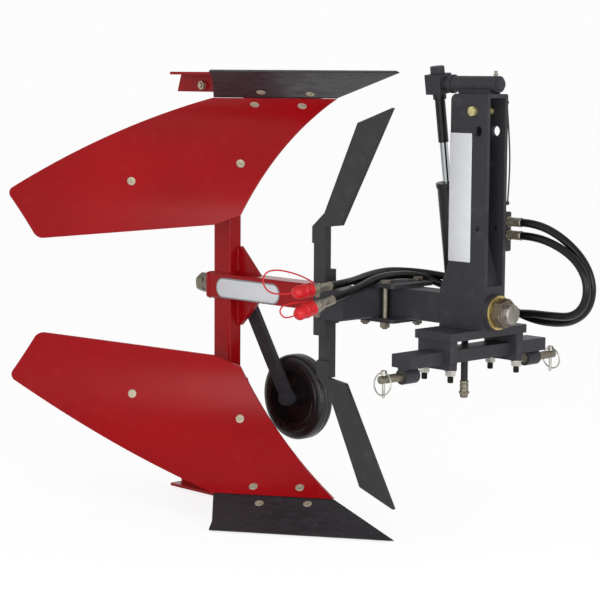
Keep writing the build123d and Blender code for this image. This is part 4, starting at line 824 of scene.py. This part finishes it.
def make_beam_welds():
    """Beads at the crank lugs, the corner plates and the knives' lug plate."""
    lug_y, arm_front, arm_back = -104, -196.6, -256.6
    welds = Blank()
    for x in (-111, -77):
        bead(welds, (x, 30, -23), (x, 30, 23), size=2.6)
    for z in (-30, 30):
        for y in (-30, 30):
            bead(welds, (-189, y, z), (-153, y, z), size=2.8)
        bead(welds, (-152, -28, z), (-152, 28, z), size=2.8)
        for x in (arm_front, arm_back):
            bead(welds, (x, -60, z), (x, -34, z), size=2.4)
    bead(welds, (arm_back, lug_y, -29), (arm_back, lug_y, 29), size=2.4)
    welds.piece("beam_welds", grey_enamel, "turning_frame", slot="grey_paint")


def make_carrier_welds():
    """Beads where the posts and gussets meet the carrier, and round its rear cap."""
    post_front, cap = -599, -657
    welds = Blank()
    for z in (-26.5, 26.5):
        box_beads(welds, (-652, -86.5), (-600, -52.5), z, size=2.8)
        for y in (-62.5, -52.5):
            bead(welds, (post_front, y, z), (-539, y, z), size=2.6)
        bead(welds, (-600, -62.5, z * 1.2), (-600, -62.5, z * 3.1), size=2.6)
        bead(welds, (cap, -94, z), (cap, -45, z), size=2.4)
    for y in (-96, -43):
        bead(welds, (cap, y, -24), (cap, y, 24), size=2.4)
    welds.piece("carrier_welds", red_enamel, "turning_frame", slot="red_paint")


# Bare plates

def rounded_plate(name, material, body, face, centre, size, radius, thickness):
    """A thin plate with round corners on a face that looks towards -Y."""
    blank = Blank()
    loops = []
    lip, corner_steps = thickness * 0.6, 8
    for level, inset in ((0, 0), (lip, 0), (thickness, lip)):
        width, height, bend = size[0] / 2 - inset, size[1] / 2 - inset, max(radius - inset, 0.1)
        loop = []
        for k, (sx, sz) in enumerate(((1, 1), (-1, 1), (-1, -1), (1, -1))):
            for step in range(corner_steps + 1):
                angle = pi / 2 * (k + step / corner_steps)
                loop.append(spot(centre[0] + sx * (width - bend) + bend * cos(angle), face - level,
                                 centre[1] + sz * (height - bend) + bend * sin(angle)))
        loops.append(loop)
    blank.skin(loops)
    blank.piece(name, material, body)


def make_plates():
    """The pale strip on the tower and the pale plate on the carrier, both left bare."""
    middle = (-534, -3)
    rounded_plate("mast_strip", label_white, "headstock", face=-29.4, centre=(-8.5, 216), size=(55, 244), radius=2,
                  thickness=0.5)
    rounded_plate("carrier_plate_rim", label_edge, "turning_frame", face=-95.9, centre=middle, size=(196, 43),
                  radius=21, thickness=0.8)
    rounded_plate("carrier_plate", label_white, "turning_frame", face=-96.4, centre=middle, size=(190, 37), radius=18,
                  thickness=0.7)


# Wheel

WHEEL_FACE = (-498, -2, -234)
TYRE = [(1.5, 60), (0.8, 62), (0.4, 65), (0.4, 72), (1.2, 73), (1.2, 75), (0.4, 76), (0.6, 81), (1.6, 85.5), (4.4, 89),
        (8.5, 90.8), (12.5, 91), (13.3, 90), (14.3, 90), (15.1, 91), (22.9, 91), (23.7, 90), (24.7, 90), (25.5, 91),
        (29.5, 90.8), (33.6, 89), (36.4, 85.5), (37.4, 81), (37.6, 76), (36.8, 75), (36.8, 73), (37.6, 72), (37.6, 65),
        (37.2, 62), (36.5, 60), (1.5, 60)]


def make_tyre():
    """The wheel's solid tyre: a ridged sidewall and a tread with two shallow grooves."""
    tyre = Blank()
    tyre.turn(spot(*WHEEL_FACE), LEFT, TYRE, sides=96, closed_ends=False)
    tyre.piece("tyre", tyre_rubber, "wheel", "wheel_tyre", slot="wheel_rubber")


# Light and floor, in metres

FLOOR_DROP, FLOOR_REACH, FLOOR_TONE, FLOOR_GLOW, FLOOR_GLOW_SHARE = 0.0008, 40, 0.92, 1.2, 0.7
HORIZON, ZENITH = 0.15, 1.0
SURROUND, SURROUND_LOSS = 0.58, 0.18  # light on the part at the horizon, and how much less comes from overhead
WHITE, WHITE_LOSS = 0.40, 0.30  # what is added where the surround itself is seen
LAMP_AIM = (-0.35, -0.1, 0.1)
# Each lamp's place, size and watts.
LAMPS = {
    "overhead lamp": ((0.2, -1.2, 3.0), 2.4, 5),
    "near lamp": ((1.2, -3.2, 0.45), 1.6, 29),
    "front lamp": ((3.0, -0.9, 0.45), 1.6, 33),
}


def rays_that_see_white(start):
    """1 for rays that see the pale background as it is: from the camera, in gloss and through glass."""
    path = start.tree.nodes.new("ShaderNodeLightPath").outputs
    camera, gloss, glass = (Value(start.tree, path[f"Is {kind} Ray"]) for kind in ("Camera", "Glossy", "Transmission"))
    return (camera + gloss + glass).between(0, 1)


def pale_floor():
    """A wide white floor that keeps the object's soft shadow."""
    low, reach = cad_box[0].z - FLOOR_DROP, FLOOR_REACH
    data = bpy.data.meshes.new("floor")
    data.from_pydata([(-reach, -reach, low), (reach, -reach, low), (reach, reach, low), (-reach, reach, low)],
                     [], [(0, 1, 2, 3)])
    show("floor", data)
    made = bpy.data.materials.new("pale floor")
    made.use_nodes = True
    tree = made.node_tree
    tree.nodes.remove(tree.nodes["Principled BSDF"])
    start = Value(tree)
    seen = rays_that_see_white(start)
    matt = start.node("ShaderNodeBsdfDiffuse", {}, {"Color": (FLOOR_TONE, FLOOR_TONE, FLOOR_TONE, 1)})
    glow = start.node("ShaderNodeEmission", {}, {"Color": (1, 1, 1, 1), "Strength": FLOOR_GLOW})
    mixed = start.node("ShaderNodeMixShader", {}, {0: seen * FLOOR_GLOW_SHARE, 1: matt, 2: glow})
    start.join(tree.nodes["Material Output"].inputs["Surface"], mixed)
    data.materials.append(made)


def light_scene():
    """Plain studio light: a pale surround that is dimmer overhead, and three soft square lamps."""
    world = bpy.data.worlds.new("surround")
    scene.world = world
    world.use_nodes = True
    start = Value(world.node_tree)
    seen = rays_that_see_white(start)
    shade = world.node_tree.nodes["Background"]
    shade.inputs["Color"].default_value = (1, 1, 1, 1)
    facing = start.node("ShaderNodeTexCoord", out="Generated")
    height = start.node("ShaderNodeSeparateXYZ", {}, {0: facing}, "Z").between(HORIZON, ZENITH)
    strength = SURROUND - SURROUND_LOSS * height + (WHITE - WHITE_LOSS * height) * seen
    start.join(shade.inputs["Strength"], strength)
    for name, (place, size, watts) in LAMPS.items():
        data = bpy.data.lights.new(name, "AREA")
        data.shape, data.size, data.energy = "SQUARE", size, watts
        lamp = show(name, data)
        lamp.location = place
        lamp.rotation_mode = "QUATERNION"
        lamp.rotation_quaternion = (Vector(LAMP_AIM) - Vector(place)).to_track_quat("-Z", "Y")


place_camera()
dress_solids()
make_unions()
couplers, caps = make_couplers(), make_caps()
for mark, (hose_length, hose_points) in HOSES.items():
    make_hose(mark, hose_points)
make_tethers()
make_lanyard()
make_drain()
make_clamp_studs()
make_through_bolts()
make_large_fasteners()
make_body_bolts()
make_mast_welds()
make_beam_welds()
make_carrier_welds()
make_plates()
make_tyre()
pale_floor()
light_scene()
